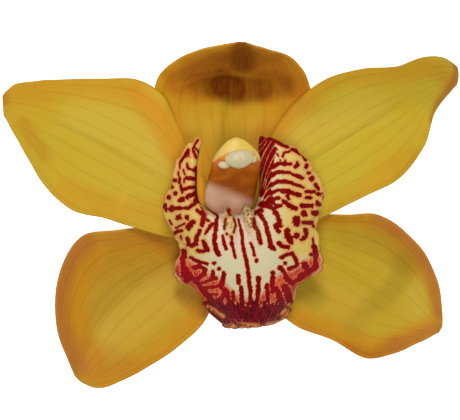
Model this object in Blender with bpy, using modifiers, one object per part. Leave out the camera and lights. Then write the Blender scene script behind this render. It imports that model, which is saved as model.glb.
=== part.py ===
"""A picked cymbidium orchid bloom, lying face up on a surface.

The bloom's axis is its receptacle. +Z is up and out of the face, +Y points to the dorsal
sepal and +X to the right-hand petal, as the face is seen. It rests on the underside of the
ovary and on the two recurved petal tips. Stations are in millimetres from the bloom's axis.
"""

import math

import bmesh
import bpy
import numpy as np
from mathutils import Vector

MM = 0.001

# Driving dimensions, in metres
TEPAL_THICKNESS = 0.0010
LIP_THICKNESS = 0.0011
RECEPTACLE_RADIUS = 0.0060
COLUMN_WIDTH = 0.0118
CAP_SIZE = (0.0070, 0.0046, 0.0032)
CAP_AT = Vector((-0.0002, 0.0112, 0.0388))
CAP_LEAN = math.radians(14.0)
CAP_UNDERSIDE = -0.14
KEEL_HEIGHT = 0.0022
# Where the bloom's axis stands, so that the origin is under the middle of the outline
AXIS_AT = Vector((-0.0042, 0.0012, 0.0))

# How finely the surfaces are divided
TEPAL_ROWS = 24
TEPAL_COLUMNS = 10
LIP_ROWS = 30
LIP_COLUMNS = 26

# Each tepal: stations from base to tip, as points on one margin, the midrib, the other margin
DORSAL_SEPAL = [
    ((-5.3, 4.6, 9.7), (0.3, 5.4, 9.5), (5.6, 4.6, 9.7)),
    ((-10.4, 11.6, 9.5), (0.5, 12.0, 8.8), (13.5, 10.5, 9.3)),
    ((-13.8, 19.0, 9.6), (0.5, 17.5, 8.6), (19.2, 17.0, 9.6)),
    ((-16.5, 27.0, 10.8), (0.6, 23.5, 9.4), (21.8, 24.8, 11.0)),
    ((-15.5, 32.2, 13.8), (1.0, 28.2, 12.0), (20.6, 30.1, 14.2)),
    ((-11.1, 35.9, 19.0), (1.6, 32.2, 17.2), (16.5, 34.5, 19.4)),
    ((-5.5, 37.5, 24.6), (2.3, 34.9, 23.0), (10.9, 36.1, 24.8)),
    ((-0.4, 37.8, 29.0), (3.0, 36.5, 28.2), (6.5, 37.2, 29.0)),
    ((2.5, 37.9, 31.2), (3.4, 37.8, 31.2), (4.5, 37.7, 31.2)),
]
LEFT_PETAL = [
    ((-4.0, 3.2, 12.3), (-4.1, 0.6, 12.2), (-4.0, -1.7, 12.2)),
    ((-8.2, 11.5, 14.2), (-9.0, 4.2, 13.8), (-8.2, -5.0, 12.9)),
    ((-11.6, 20.5, 15.4), (-14.6, 7.6, 15.0), (-15.0, -5.8, 13.9)),
    ((-14.6, 28.2, 15.8), (-20.6, 11.4, 14.9), (-23.6, -2.8, 13.7)),
    ((-20.0, 32.4, 14.6), (-26.6, 15.4, 14.0), (-30.7, 0.2, 12.9)),
    ((-28.6, 33.6, 12.2), (-32.8, 19.6, 12.2), (-38.0, 2.6, 11.4)),
    ((-37.6, 34.4, 9.2), (-39.4, 23.9, 9.0), (-44.0, 8.8, 8.6)),
    ((-45.0, 34.8, 5.6), (-45.4, 27.2, 5.4), (-47.8, 16.4, 5.4)),
    ((-50.0, 34.4, 2.8), (-50.2, 29.4, 2.4), (-51.0, 23.4, 2.6)),
    ((-52.6, 32.4, 0.7), (-52.7, 30.2, 0.4), (-52.7, 27.4, 0.7)),
]
RIGHT_PETAL = [
    ((3.9, 3.2, 12.3), (4.0, 0.6, 12.2), (3.9, -2.0, 12.2)),
    ((7.0, 10.5, 14.4), (9.0, 4.0, 14.0), (8.0, -5.4, 13.4)),
    ((12.6, 19.2, 15.4), (15.0, 7.4, 15.0), (15.6, -6.4, 13.9)),
    ((18.6, 25.2, 15.9), (21.4, 11.0, 14.9), (24.4, -3.0, 13.8)),
    ((25.6, 29.2, 15.0), (28.4, 14.4, 14.2), (32.7, 0.1, 13.2)),
    ((35.0, 31.0, 12.8), (36.0, 18.4, 12.4), (41.8, 3.8, 11.6)),
    ((44.0, 31.1, 9.8), (43.6, 22.0, 9.8), (49.3, 11.4, 8.9)),
    ((51.6, 33.2, 6.4), (50.6, 25.2, 6.6), (52.8, 18.8, 6.0)),
    ((57.6, 32.7, 2.9), (57.2, 27.2, 2.9), (56.8, 22.9, 3.0)),
    ((61.0, 30.6, 0.7), (61.2, 28.1, 0.43), (60.4, 25.8, 0.7)),
]
LEFT_SEPAL = [
    ((-5.6, -2.0, 9.6), (-4.6, -4.6, 9.4), (-2.8, -6.2, 9.6)),
    ((-11.5, -2.2, 10.4), (-9.0, -7.4, 8.7), (-4.2, -12.0, 9.6)),
    ((-19.0, -2.6, 10.8), (-15.2, -11.4, 7.6), (-5.6, -19.5, 9.8)),
    ((-28.0, -3.0, 10.8), (-21.6, -14.8, 6.6), (-8.6, -26.4, 9.9)),
    ((-36.4, -3.6, 10.2), (-27.6, -18.6, 5.7), (-16.0, -32.4, 9.7)),
    ((-41.3, -9.2, 9.7), (-32.4, -23.0, 5.2), (-23.6, -36.6, 9.2)),
    ((-44.0, -17.2, 9.2), (-36.0, -27.6, 5.3), (-30.4, -39.4, 8.7)),
    ((-44.2, -26.4, 8.6), (-38.6, -32.0, 6.0), (-35.2, -40.5, 8.3)),
    ((-42.4, -32.9, 8.2), (-40.0, -35.8, 7.0), (-37.8, -39.8, 8.0)),
    ((-41.0, -37.0, 7.8), (-40.4, -38.0, 7.6), (-39.6, -38.8, 7.8)),
]
RIGHT_SEPAL = [
    ((5.8, -2.0, 9.6), (4.7, -4.6, 9.4), (2.6, -6.2, 9.6)),
    ((11.8, -2.4, 10.4), (9.6, -7.4, 8.7), (4.2, -12.6, 9.6)),
    ((19.4, -3.2, 10.9), (16.4, -11.6, 7.6), (6.2, -21.5, 9.8)),
    ((28.0, -4.2, 11.0), (23.4, -15.4, 6.7), (13.0, -29.7, 10.0)),
    ((35.8, -4.8, 10.6), (30.0, -19.6, 5.8), (22.0, -34.2, 9.8)),
    ((42.4, -9.8, 10.2), (36.2, -24.0, 5.3), (30.2, -39.5, 9.5)),
    ((47.4, -16.6, 9.6), (41.4, -27.8, 5.4), (37.6, -38.8, 9.0)),
    ((49.8, -24.4, 9.1), (45.4, -31.0, 6.3), (43.2, -37.0, 8.6)),
    ((50.0, -30.2, 8.7), (48.2, -33.2, 7.4), (46.8, -35.8, 8.3)),
    ((49.8, -33.6, 8.2), (49.4, -34.4, 8.0), (48.8, -35.0, 8.1)),
]

# The lip: rows from its claw over the throat and the knee to its recurved tip, each from the
# left margin over the middle to the right margin
LIP = [
    [(-2.2, -4.6, 11.6), (-1.8, -4.7, 11.5), (-1.3, -4.8, 11.5), (-0.7, -4.9, 11.5), (-0.1, -4.9, 11.5),
     (0.5, -4.9, 11.5), (1.1, -4.8, 11.5), (1.7, -4.7, 11.5), (2.2, -4.5, 11.6)],
    [(-7.8, 1.0, 17.0), (-7.2, -1.8, 16.8), (-5.4, -4.6, 16.6), (-2.8, -6.2, 16.5), (-0.2, -6.6, 16.5),
     (2.4, -6.2, 16.5), (4.4, -4.6, 16.6), (5.4, -2.2, 16.8), (5.7, 0.2, 17.0)],
    [(-9.4, 9.0, 24.4), (-9.7, 4.6, 23.8), (-8.6, 0.2, 23.2), (-5.4, -3.6, 22.8), (-0.6, -5.0, 22.6),
     (3.5, -3.6, 22.8), (5.4, 0.2, 23.2), (6.4, 5.8, 23.8), (6.8, 12.2, 24.4)],
    [(-8.6, 16.4, 31.6), (-9.9, 10.5, 31.4), (-10.3, 2.9, 30.8), (-6.6, -1.2, 30.4), (-0.9, -2.4, 30.2),
     (3.6, -1.3, 30.4), (5.8, 3.6, 30.8), (6.8, 10.0, 31.2), (7.7, 15.4, 31.4)],
    [(-11.9, 13.1, 30.4), (-11.5, 7.6, 32.2), (-10.9, 2.5, 32.6), (-6.6, -2.1, 32.4), (-0.9, -3.6, 32.0),
     (3.8, -2.8, 32.3), (7.2, 2.0, 32.8), (9.8, 7.4, 32.9), (14.4, 11.8, 31.5)],
    [(-15.2, 6.8, 27.4), (-13.5, 4.0, 30.4), (-10.6, 1.0, 32.4), (-6.4, -3.5, 32.8), (-0.7, -5.2, 32.5),
     (4.6, -4.7, 32.8), (9.6, -0.6, 32.9), (14.4, 3.6, 31.4), (19.0, 5.0, 28.2)],
    [(-17.0, 2.4, 25.0), (-14.3, 0.4, 29.0), (-10.5, -2.0, 31.9), (-6.2, -5.4, 32.9), (-0.5, -7.6, 32.8),
     (5.4, -6.8, 32.9), (10.6, -4.0, 32.2), (15.8, -1.6, 29.8), (20.0, -0.6, 26.5)],
    [(-15.8, -4.1, 23.0), (-13.5, -4.3, 27.2), (-10.2, -5.8, 30.8), (-5.9, -8.0, 32.5), (-0.3, -10.4, 32.5),
     (5.8, -9.6, 32.5), (11.0, -7.6, 31.1), (15.2, -6.0, 28.4), (17.6, -6.6, 25.4)],
    [(-13.8, -8.7, 22.4), (-12.1, -9.0, 26.4), (-9.2, -10.0, 29.8), (-5.4, -11.4, 31.7), (0.0, -13.4, 31.9),
     (6.0, -13.0, 31.6), (11.4, -11.6, 29.7), (15.6, -10.6, 27.0), (18.8, -11.4, 24.3)],
    [(-16.0, -14.4, 19.6), (-12.9, -14.0, 24.0), (-9.4, -14.2, 27.8), (-5.2, -15.2, 30.1), (0.2, -17.0, 30.5),
     (6.0, -16.6, 30.1), (11.8, -15.2, 28.1), (15.6, -15.2, 25.4), (18.6, -16.0, 22.4)],
    [(-11.7, -17.4, 18.4), (-10.1, -18.0, 22.2), (-7.6, -18.8, 25.4), (-4.0, -19.6, 27.7), (0.4, -20.6, 28.3),
     (4.8, -20.6, 28.0), (9.0, -20.0, 26.2), (11.4, -19.6, 23.6), (13.2, -19.2, 20.8)],
    [(-8.3, -23.4, 16.8), (-6.7, -23.5, 19.6), (-4.8, -23.8, 22.0), (-2.3, -24.2, 23.8), (1.0, -24.4, 24.4),
     (4.4, -24.4, 24.0), (7.4, -24.3, 22.6), (9.7, -24.2, 20.6), (11.6, -24.1, 18.4)],
    [(-5.2, -27.2, 15.2), (-4.0, -27.5, 16.6), (-2.3, -27.8, 17.8), (-0.6, -28.1, 18.7), (1.3, -28.2, 19.0),
     (3.4, -28.2, 18.8), (5.5, -28.0, 17.9), (7.7, -27.7, 16.7), (9.9, -27.3, 15.4)],
    [(-3.6, -27.6, 12.6), (-2.6, -28.0, 13.2), (-1.4, -28.3, 13.7), (-0.1, -28.5, 14.0), (1.5, -28.6, 14.1),
     (3.2, -28.5, 14.0), (4.8, -28.3, 13.7), (6.4, -28.0, 13.2), (7.9, -27.6, 12.6)],
]

# The column from its foot to its hood: spine points, its half width as a share of the greatest,
# the depth of its back in millimetres and how far the section leans towards the dorsal sepal
COLUMN = [
    ((0.0, -0.3, 11.7), 0.60, 3.6, 0.0),
    ((0.0, -0.2, 13.2), 0.61, 3.6, 6.0),
    ((-0.5, 0.4, 15.0), 0.86, 3.6, 12.0),
    ((-0.9, 1.2, 16.8), 0.96, 3.4, 16.0),
    ((-1.15, 2.8, 20.4), 1.03, 3.2, 23.0),
    ((-1.1, 5.2, 26.0), 1.03, 3.2, 25.0),
    ((-0.7, 8.0, 31.2), 0.99, 3.7, 22.0),
    ((-0.5, 10.4, 35.2), 0.94, 4.2, 8.0),
    ((-0.7, 11.8, 38.0), 0.70, 4.1, -14.0),
]

# The receptacle and ovary from the crown to the cut end: spine points, the radius as a share of
# the receptacle's and how far the section leans as the ovary bends down and lies flat
OVARY = [
    ((0.0, 0.0, 11.3), 0.69, 0.0),
    ((0.0, 0.0, 9.6), 0.71, 0.0),
    ((0.0, 0.0, 8.5), 0.86, 3.0),
    ((0.0, -0.1, 7.6), 0.98, 10.0),
    ((0.0, -0.5, 6.2), 0.84, 24.0),
    ((0.0, -2.2, 4.4), 0.56, 54.0),
    ((0.0, -6.0, 2.7), 0.44, 74.0),
    ((0.0, -12.0, 2.05), 0.41, 87.0),
    ((0.0, -19.0, 2.0), 0.39, 90.0),
    ((0.0, -26.5, 2.0), 0.40, 90.0),
]


def smooth_rows(stations, count, ease=1.0):
    """Rows on a smooth curve through the stations, evenly spaced by length, or closer at the end."""
    stations = np.array(stations, float)
    flat = stations.reshape(len(stations), -1)
    steps = np.linalg.norm(np.diff(flat, axis=0), axis=1)
    knots = np.concatenate([[0.0], np.cumsum(steps)])
    slopes = np.diff(flat, axis=0) / steps[:, None]
    tangents = np.empty_like(flat)
    tangents[0] = slopes[0]
    tangents[-1] = slopes[-1]
    weight = (steps[:-1] / (steps[:-1] + steps[1:]))[:, None]
    tangents[1:-1] = slopes[:-1] * (1 - weight) + slopes[1:] * weight
    along = knots[-1] * (1 - (1 - np.linspace(0, 1, count)) ** ease)
    cell = np.clip(np.searchsorted(knots, along, side="right") - 1, 0, len(steps) - 1)
    span = steps[cell][:, None]
    s = (along - knots[cell])[:, None] / span
    rows = (
        flat[cell] * (2 * s**3 - 3 * s**2 + 1)
        + flat[cell + 1] * (3 * s**2 - 2 * s**3)
        + tangents[cell] * span * (s**3 - 2 * s**2 + s)
        + tangents[cell + 1] * span * (s**3 - s**2)
    )
    return rows.reshape((count,) + stations.shape[1:])


def plain_material(name, colour, roughness):
    """A Principled material of one colour."""
    material = bpy.data.materials.new(name)
    material.use_nodes = True
    shader = material.node_tree.nodes["Principled BSDF"]
    shader.inputs["Base Color"].default_value = (*colour, 1.0)
    shader.inputs["Roughness"].default_value = roughness
    material.diffuse_color = (*colour, 1.0)
    return material


def add_object(name, mesh, material, collection, bloom):
    """An object in the bloom's collection, placed by the bloom's empty."""
    obj = bpy.data.objects.new(name, mesh)
    mesh.materials.append(material)
    mesh.shade_smooth()
    collection.objects.link(obj)
    obj.parent = bloom
    return obj


def surface_mesh(name, points):
    """A grid shaped to the points, split into triangles so that both faces of a blade fold alike."""
    rows, columns = points.shape[:2]
    mesh_builder = bmesh.new()
    bmesh.ops.create_grid(mesh_builder, x_segments=rows - 1, y_segments=columns - 1, size=1.0)
    for vert in mesh_builder.verts:
        row = round((vert.co.x + 1) / 2 * (rows - 1))
        column = round((vert.co.y + 1) / 2 * (columns - 1))
        vert.co = points[row, column] * MM
    bmesh.ops.triangulate(mesh_builder, faces=mesh_builder.faces[:])
    mesh = bpy.data.meshes.new(name)
    mesh_builder.to_mesh(mesh)
    mesh_builder.free()
    return mesh


def blade(name, points, thickness, material, collection, bloom):
    """A blade of even thickness about a shaped surface."""
    obj = add_object(name, surface_mesh(name, points), material, collection, bloom)
    solidify = obj.modifiers.new("thickness", "SOLIDIFY")
    solidify.thickness = thickness
    solidify.offset = 0.0
    return obj


def tepal_points(stations, wave, waves, phase):
    """A sepal's or petal's surface: curved across between its margins, with the margins waved."""
    rails = smooth_rows(stations, TEPAL_ROWS + 1, ease=1.12)
    first, rib, second = (rails[:, i, None, :] for i in range(3))
    v = np.linspace(-1, 1, TEPAL_COLUMNS + 1)[None, :, None]
    points = rib + v * (second - first) / 2 + v**2 * ((first + second) / 2 - rib)
    u = np.linspace(0, 1, TEPAL_ROWS + 1)[:, None]
    side = v[:, :, 0]
    fade = np.sin(np.pi * u) ** 0.5
    points[:, :, 2] += wave * fade * np.abs(side) ** 3 * np.sin(2 * np.pi * (waves * u + phase * (1 + side)))
    return points


def lip_points():
    """The lip's surface through its rows, with the two keels of its callus raised along the floor."""
    along = smooth_rows(LIP, LIP_ROWS + 1)
    points = smooth_rows(along.transpose(1, 0, 2), LIP_COLUMNS + 1).transpose(1, 0, 2)
    u = np.linspace(0, 1, LIP_ROWS + 1)[:, None]
    v = np.linspace(-1, 1, LIP_COLUMNS + 1)[None, :]
    keel_at, keel_width = 0.12, 0.055
    keel_start, keel_end = 0.27, 0.56
    length = np.clip((u - keel_start) / (keel_end - keel_start), 0, 1)
    rise = KEEL_HEIGHT / MM * np.sin(np.pi * length**0.45) ** 0.8
    ridge = np.exp(-(((np.abs(v) - keel_at) / keel_width) ** 2))
    normals = np.cross(np.gradient(points, axis=1), np.gradient(points, axis=0))
    normals /= np.linalg.norm(normals, axis=2, keepdims=True)
    return points + normals * (rise * ridge)[:, :, None]


def tube_body(name, stations, section, rings, sides):
    """A closed body laid along a spine: a sphere's rings become sections that lean about X."""
    mesh_builder = bmesh.new()
    bmesh.ops.create_uvsphere(mesh_builder, u_segments=sides, v_segments=rings, radius=1.0)
    end_rings = 2
    rows = smooth_rows(stations, rings - 2 * end_rings + 1)
    end_scale = {0: 0.0, 1: 0.72}
    for vert in mesh_builder.verts:
        ring = round(math.acos(max(-1.0, min(1.0, vert.co.z))) / math.pi * rings)
        row = rows[min(max(ring - end_rings, 0), len(rows) - 1)]
        scale = end_scale.get(min(ring, rings - ring), 1.0)
        across, front = section(math.atan2(vert.co.y, vert.co.x), row[3:-1])
        lean = math.radians(row[-1])
        front_axis = Vector((0.0, -math.cos(lean), math.sin(lean)))
        vert.co = Vector(row[:3]) + Vector((across * scale, 0.0, 0.0)) + front_axis * front * scale
        vert.co *= MM
    if mesh_builder.calc_volume(signed=True) < 0:
        bmesh.ops.reverse_faces(mesh_builder, faces=mesh_builder.faces[:])
    mesh = bpy.data.meshes.new(name)
    mesh_builder.to_mesh(mesh)
    mesh_builder.free()
    return mesh


def column_section(angle, size):
    """The column across: a round back, wings at its sides and a shallow groove down its front."""
    half_width, back_depth = size
    across = half_width * math.cos(angle)
    front = math.sin(angle)
    if front < 0:
        return across, back_depth * front
    return across, back_depth * (0.50 * front - 0.30 * front**6)


def ovary_section(angle, size):
    """The ovary across: six low ribs round it."""
    radius = size[0] * (1 + 0.03 * math.cos(6 * angle))
    return radius * math.cos(angle), radius * math.sin(angle)


def make_column(material, collection, bloom):
    """The column: it leans to the dorsal sepal and widens to winged sides under its hood."""
    half_width = COLUMN_WIDTH / 2 / MM
    stations = [(*point, width * half_width, back, lean) for point, width, back, lean in COLUMN]
    mesh = tube_body("column", stations, column_section, 18, 20)
    return add_object("column", mesh, material, collection, bloom)


def make_ovary(material, collection, bloom):
    """The receptacle under the tepals and the ribbed ovary that bends down and lies flat below."""
    stations = [(*point, share * RECEPTACLE_RADIUS / MM, lean) for point, share, lean in OVARY]
    mesh = tube_body("ovary", stations, ovary_section, 26, 24)
    for vert in mesh.vertices:
        vert.co.z = max(vert.co.z, 0.0)
    return add_object("ovary", mesh, material, collection, bloom)


def make_cap(material, collection, bloom):
    """The anther cap: a small smooth dome on the column's end, with a shallow groove."""
    mesh_builder = bmesh.new()
    bmesh.ops.create_uvsphere(mesh_builder, u_segments=20, v_segments=12, radius=0.5)
    width, depth, height = CAP_SIZE
    for vert in mesh_builder.verts:
        x, y, z = vert.co
        groove = 0.06 * math.exp(-((x / 0.07) ** 2)) * max(z, 0.0)
        vert.co = (x * width, y * depth, max(z - groove, CAP_UNDERSIDE) * height)
    mesh = bpy.data.meshes.new("anther_cap")
    mesh_builder.to_mesh(mesh)
    mesh_builder.free()
    cap = add_object("anther_cap", mesh, material, collection, bloom)
    cap.location = CAP_AT
    cap.rotation_euler.x = CAP_LEAN
    return cap


def main():
    """Build the bloom."""
    for obj in list(bpy.data.objects):
        bpy.data.objects.remove(obj)
    collection = bpy.data.collections.new("cymbidium_bloom")
    bpy.context.scene.collection.children.link(collection)
    bloom = bpy.data.objects.new("bloom_axis", None)
    bloom.location = AXIS_AT
    collection.objects.link(bloom)

    sepal_skin = plain_material("sepal_skin", (0.52, 0.34, 0.05), 0.5)
    petal_skin = plain_material("petal_skin", (0.56, 0.40, 0.06), 0.5)
    lip_skin = plain_material("lip_skin", (0.80, 0.62, 0.36), 0.5)
    column_skin = plain_material("column_skin", (0.62, 0.36, 0.10), 0.45)
    cap_skin = plain_material("cap_skin", (0.80, 0.76, 0.62), 0.3)
    ovary_skin = plain_material("ovary_skin", (0.35, 0.36, 0.08), 0.5)

    tepals = (
        ("dorsal_sepal", DORSAL_SEPAL, sepal_skin, 0.25, 2.5, 0.1),
        ("sepal_left", LEFT_SEPAL, sepal_skin, 0.35, 2.0, 0.2),
        ("sepal_right", RIGHT_SEPAL, sepal_skin, 0.35, 2.0, 0.3),
        ("petal_left", LEFT_PETAL, petal_skin, 0.5, 3.0, 0.2),
        ("petal_right", RIGHT_PETAL, petal_skin, 0.5, 3.5, 0.3),
    )
    for name, stations, skin, wave, waves, phase in tepals:
        points = tepal_points(stations, wave, waves, phase)
        blade(name, points, TEPAL_THICKNESS, skin, collection, bloom)
    blade("lip", lip_points(), LIP_THICKNESS, lip_skin, collection, bloom)
    make_column(column_skin, collection, bloom)
    make_cap(cap_skin, collection, bloom)
    make_ovary(ovary_skin, collection, bloom)


main()
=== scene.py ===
"""The look of a picked cymbidium bloom that lies face up, made around its fixed solids.

Lengths in the lists of stations are millimetres from the bloom's axis, +Z out of the face.
"""

import math

import bmesh
import bpy
import numpy as np
from bpy.props import FloatProperty, FloatVectorProperty, IntProperty, PointerProperty
from bpy.types import Operator, Panel, PropertyGroup
from mathutils import Matrix, Vector


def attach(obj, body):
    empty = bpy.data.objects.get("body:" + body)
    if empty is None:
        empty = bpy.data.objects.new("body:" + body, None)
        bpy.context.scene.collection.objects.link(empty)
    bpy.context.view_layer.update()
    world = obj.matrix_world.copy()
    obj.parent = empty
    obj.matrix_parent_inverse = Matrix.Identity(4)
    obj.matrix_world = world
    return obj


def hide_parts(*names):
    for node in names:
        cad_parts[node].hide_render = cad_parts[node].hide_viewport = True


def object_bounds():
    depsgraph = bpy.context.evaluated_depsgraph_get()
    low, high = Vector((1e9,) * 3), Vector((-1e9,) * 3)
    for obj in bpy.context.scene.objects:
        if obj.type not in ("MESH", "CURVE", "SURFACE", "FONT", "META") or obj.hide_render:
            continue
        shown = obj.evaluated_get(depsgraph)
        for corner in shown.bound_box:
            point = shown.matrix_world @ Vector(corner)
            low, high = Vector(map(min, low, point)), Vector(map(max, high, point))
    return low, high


bl_info = {
    "name": "Cymbidium bloom",
    "version": (1, 0, 0),
    "blender": (4, 5, 0),
    "location": "View3D > Sidebar > Bloom",
    "description": "Sepals, petals, spotted lip, column and ovary of a picked cymbidium bloom",
    "category": "Add Mesh",
}

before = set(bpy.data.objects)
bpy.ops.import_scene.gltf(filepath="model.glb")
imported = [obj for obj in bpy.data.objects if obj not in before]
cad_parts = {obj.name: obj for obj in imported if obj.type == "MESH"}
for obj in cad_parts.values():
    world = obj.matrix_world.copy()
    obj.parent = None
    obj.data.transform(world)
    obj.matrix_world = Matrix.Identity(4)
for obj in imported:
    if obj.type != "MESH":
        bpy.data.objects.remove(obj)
CAD_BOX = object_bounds()

MM = 0.001
# The bloom's axis in the frame, in millimetres
AXIS_AT = np.array([-4.2, 1.2, 0.0])

# Each tepal: stations from base to tip, as points on one margin, the midrib, the other margin
DORSAL_SEPAL = [
    ((-5.3, 4.6, 9.7), (0.3, 5.4, 9.5), (5.6, 4.6, 9.7)),
    ((-10.4, 11.6, 9.5), (0.5, 12.0, 8.8), (13.5, 10.5, 9.3)),
    ((-13.8, 19.0, 9.6), (0.5, 17.5, 8.6), (19.2, 17.0, 9.6)),
    ((-16.5, 27.0, 10.8), (0.6, 23.5, 9.4), (21.8, 24.8, 11.0)),
    ((-15.5, 32.2, 13.8), (1.0, 28.2, 12.0), (20.6, 30.1, 14.2)),
    ((-11.1, 35.9, 19.0), (1.6, 32.2, 17.2), (16.5, 34.5, 19.4)),
    ((-5.5, 37.5, 24.6), (2.3, 34.9, 23.0), (10.9, 36.1, 24.8)),
    ((-0.4, 37.8, 29.0), (3.0, 36.5, 28.2), (6.5, 37.2, 29.0)),
    ((2.5, 37.9, 31.2), (3.4, 37.8, 31.2), (4.5, 37.7, 31.2)),
]
LEFT_PETAL = [
    ((-4.0, 3.2, 12.3), (-4.1, 0.6, 12.2), (-4.0, -1.7, 12.2)),
    ((-8.2, 11.5, 14.2), (-9.0, 4.2, 13.8), (-8.2, -5.0, 12.9)),
    ((-11.6, 20.5, 15.4), (-14.6, 7.6, 15.0), (-15.0, -5.8, 13.9)),
    ((-14.6, 28.2, 15.8), (-20.6, 11.4, 14.9), (-23.6, -2.8, 13.7)),
    ((-20.0, 32.4, 14.6), (-26.6, 15.4, 14.0), (-30.7, 0.2, 12.9)),
    ((-28.6, 33.6, 12.2), (-32.8, 19.6, 12.2), (-38.0, 2.6, 11.4)),
    ((-37.6, 34.4, 9.2), (-39.4, 23.9, 9.0), (-44.0, 8.8, 8.6)),
    ((-45.0, 34.8, 5.6), (-45.4, 27.2, 5.4), (-47.8, 16.4, 5.4)),
    ((-50.0, 34.4, 2.8), (-50.2, 29.4, 2.4), (-51.0, 23.4, 2.6)),
    ((-52.6, 32.4, 0.7), (-52.7, 30.2, 0.4), (-52.7, 27.4, 0.7)),
]
RIGHT_PETAL = [
    ((3.9, 3.2, 12.3), (4.0, 0.6, 12.2), (3.9, -2.0, 12.2)),
    ((7.0, 10.5, 14.4), (9.0, 4.0, 14.0), (8.0, -5.4, 13.4)),
    ((12.6, 19.2, 15.4), (15.0, 7.4, 15.0), (15.6, -6.4, 13.9)),
    ((18.6, 25.2, 15.9), (21.4, 11.0, 14.9), (24.4, -3.0, 13.8)),
    ((25.6, 29.2, 15.0), (28.4, 14.4, 14.2), (32.7, 0.1, 13.2)),
    ((35.0, 31.0, 12.8), (36.0, 18.4, 12.4), (41.8, 3.8, 11.6)),
    ((44.0, 31.1, 9.8), (43.6, 22.0, 9.8), (49.3, 11.4, 8.9)),
    ((51.6, 33.2, 6.4), (50.6, 25.2, 6.6), (52.8, 18.8, 6.0)),
    ((57.6, 32.7, 2.9), (57.2, 27.2, 2.9), (56.8, 22.9, 3.0)),
    ((61.0, 30.6, 0.7), (61.2, 28.1, 0.43), (60.4, 25.8, 0.7)),
]
LEFT_SEPAL = [
    ((-5.6, -2.0, 9.6), (-4.6, -4.6, 9.4), (-2.8, -6.2, 9.6)),
    ((-11.5, -2.2, 10.4), (-9.0, -7.4, 8.7), (-4.2, -12.0, 9.6)),
    ((-19.0, -2.6, 10.8), (-15.2, -11.4, 7.6), (-5.6, -19.5, 9.8)),
    ((-28.0, -3.0, 10.8), (-21.6, -14.8, 6.6), (-8.6, -26.4, 9.9)),
    ((-36.4, -3.6, 10.2), (-27.6, -18.6, 5.7), (-16.0, -32.4, 9.7)),
    ((-41.3, -9.2, 9.7), (-32.4, -23.0, 5.2), (-23.6, -36.6, 9.2)),
    ((-44.0, -17.2, 9.2), (-36.0, -27.6, 5.3), (-30.4, -39.4, 8.7)),
    ((-44.2, -26.4, 8.6), (-38.6, -32.0, 6.0), (-35.2, -40.5, 8.3)),
    ((-42.4, -32.9, 8.2), (-40.0, -35.8, 7.0), (-37.8, -39.8, 8.0)),
    ((-41.0, -37.0, 7.8), (-40.4, -38.0, 7.6), (-39.6, -38.8, 7.8)),
]
RIGHT_SEPAL = [
    ((5.8, -2.0, 9.6), (4.7, -4.6, 9.4), (2.6, -6.2, 9.6)),
    ((11.8, -2.4, 10.4), (9.6, -7.4, 8.7), (4.2, -12.6, 9.6)),
    ((19.4, -3.2, 10.9), (16.4, -11.6, 7.6), (6.2, -21.5, 9.8)),
    ((28.0, -4.2, 11.0), (23.4, -15.4, 6.7), (13.0, -29.7, 10.0)),
    ((35.8, -4.8, 10.6), (30.0, -19.6, 5.8), (22.0, -34.2, 9.8)),
    ((42.4, -9.8, 10.2), (36.2, -24.0, 5.3), (30.2, -39.5, 9.5)),
    ((47.4, -16.6, 9.6), (41.4, -27.8, 5.4), (37.6, -38.8, 9.0)),
    ((49.8, -24.4, 9.1), (45.4, -31.0, 6.3), (43.2, -37.0, 8.6)),
    ((50.0, -30.2, 8.7), (48.2, -33.2, 7.4), (46.8, -35.8, 8.3)),
    ((49.8, -33.6, 8.2), (49.4, -34.4, 8.0), (48.8, -35.0, 8.1)),
]

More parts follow.
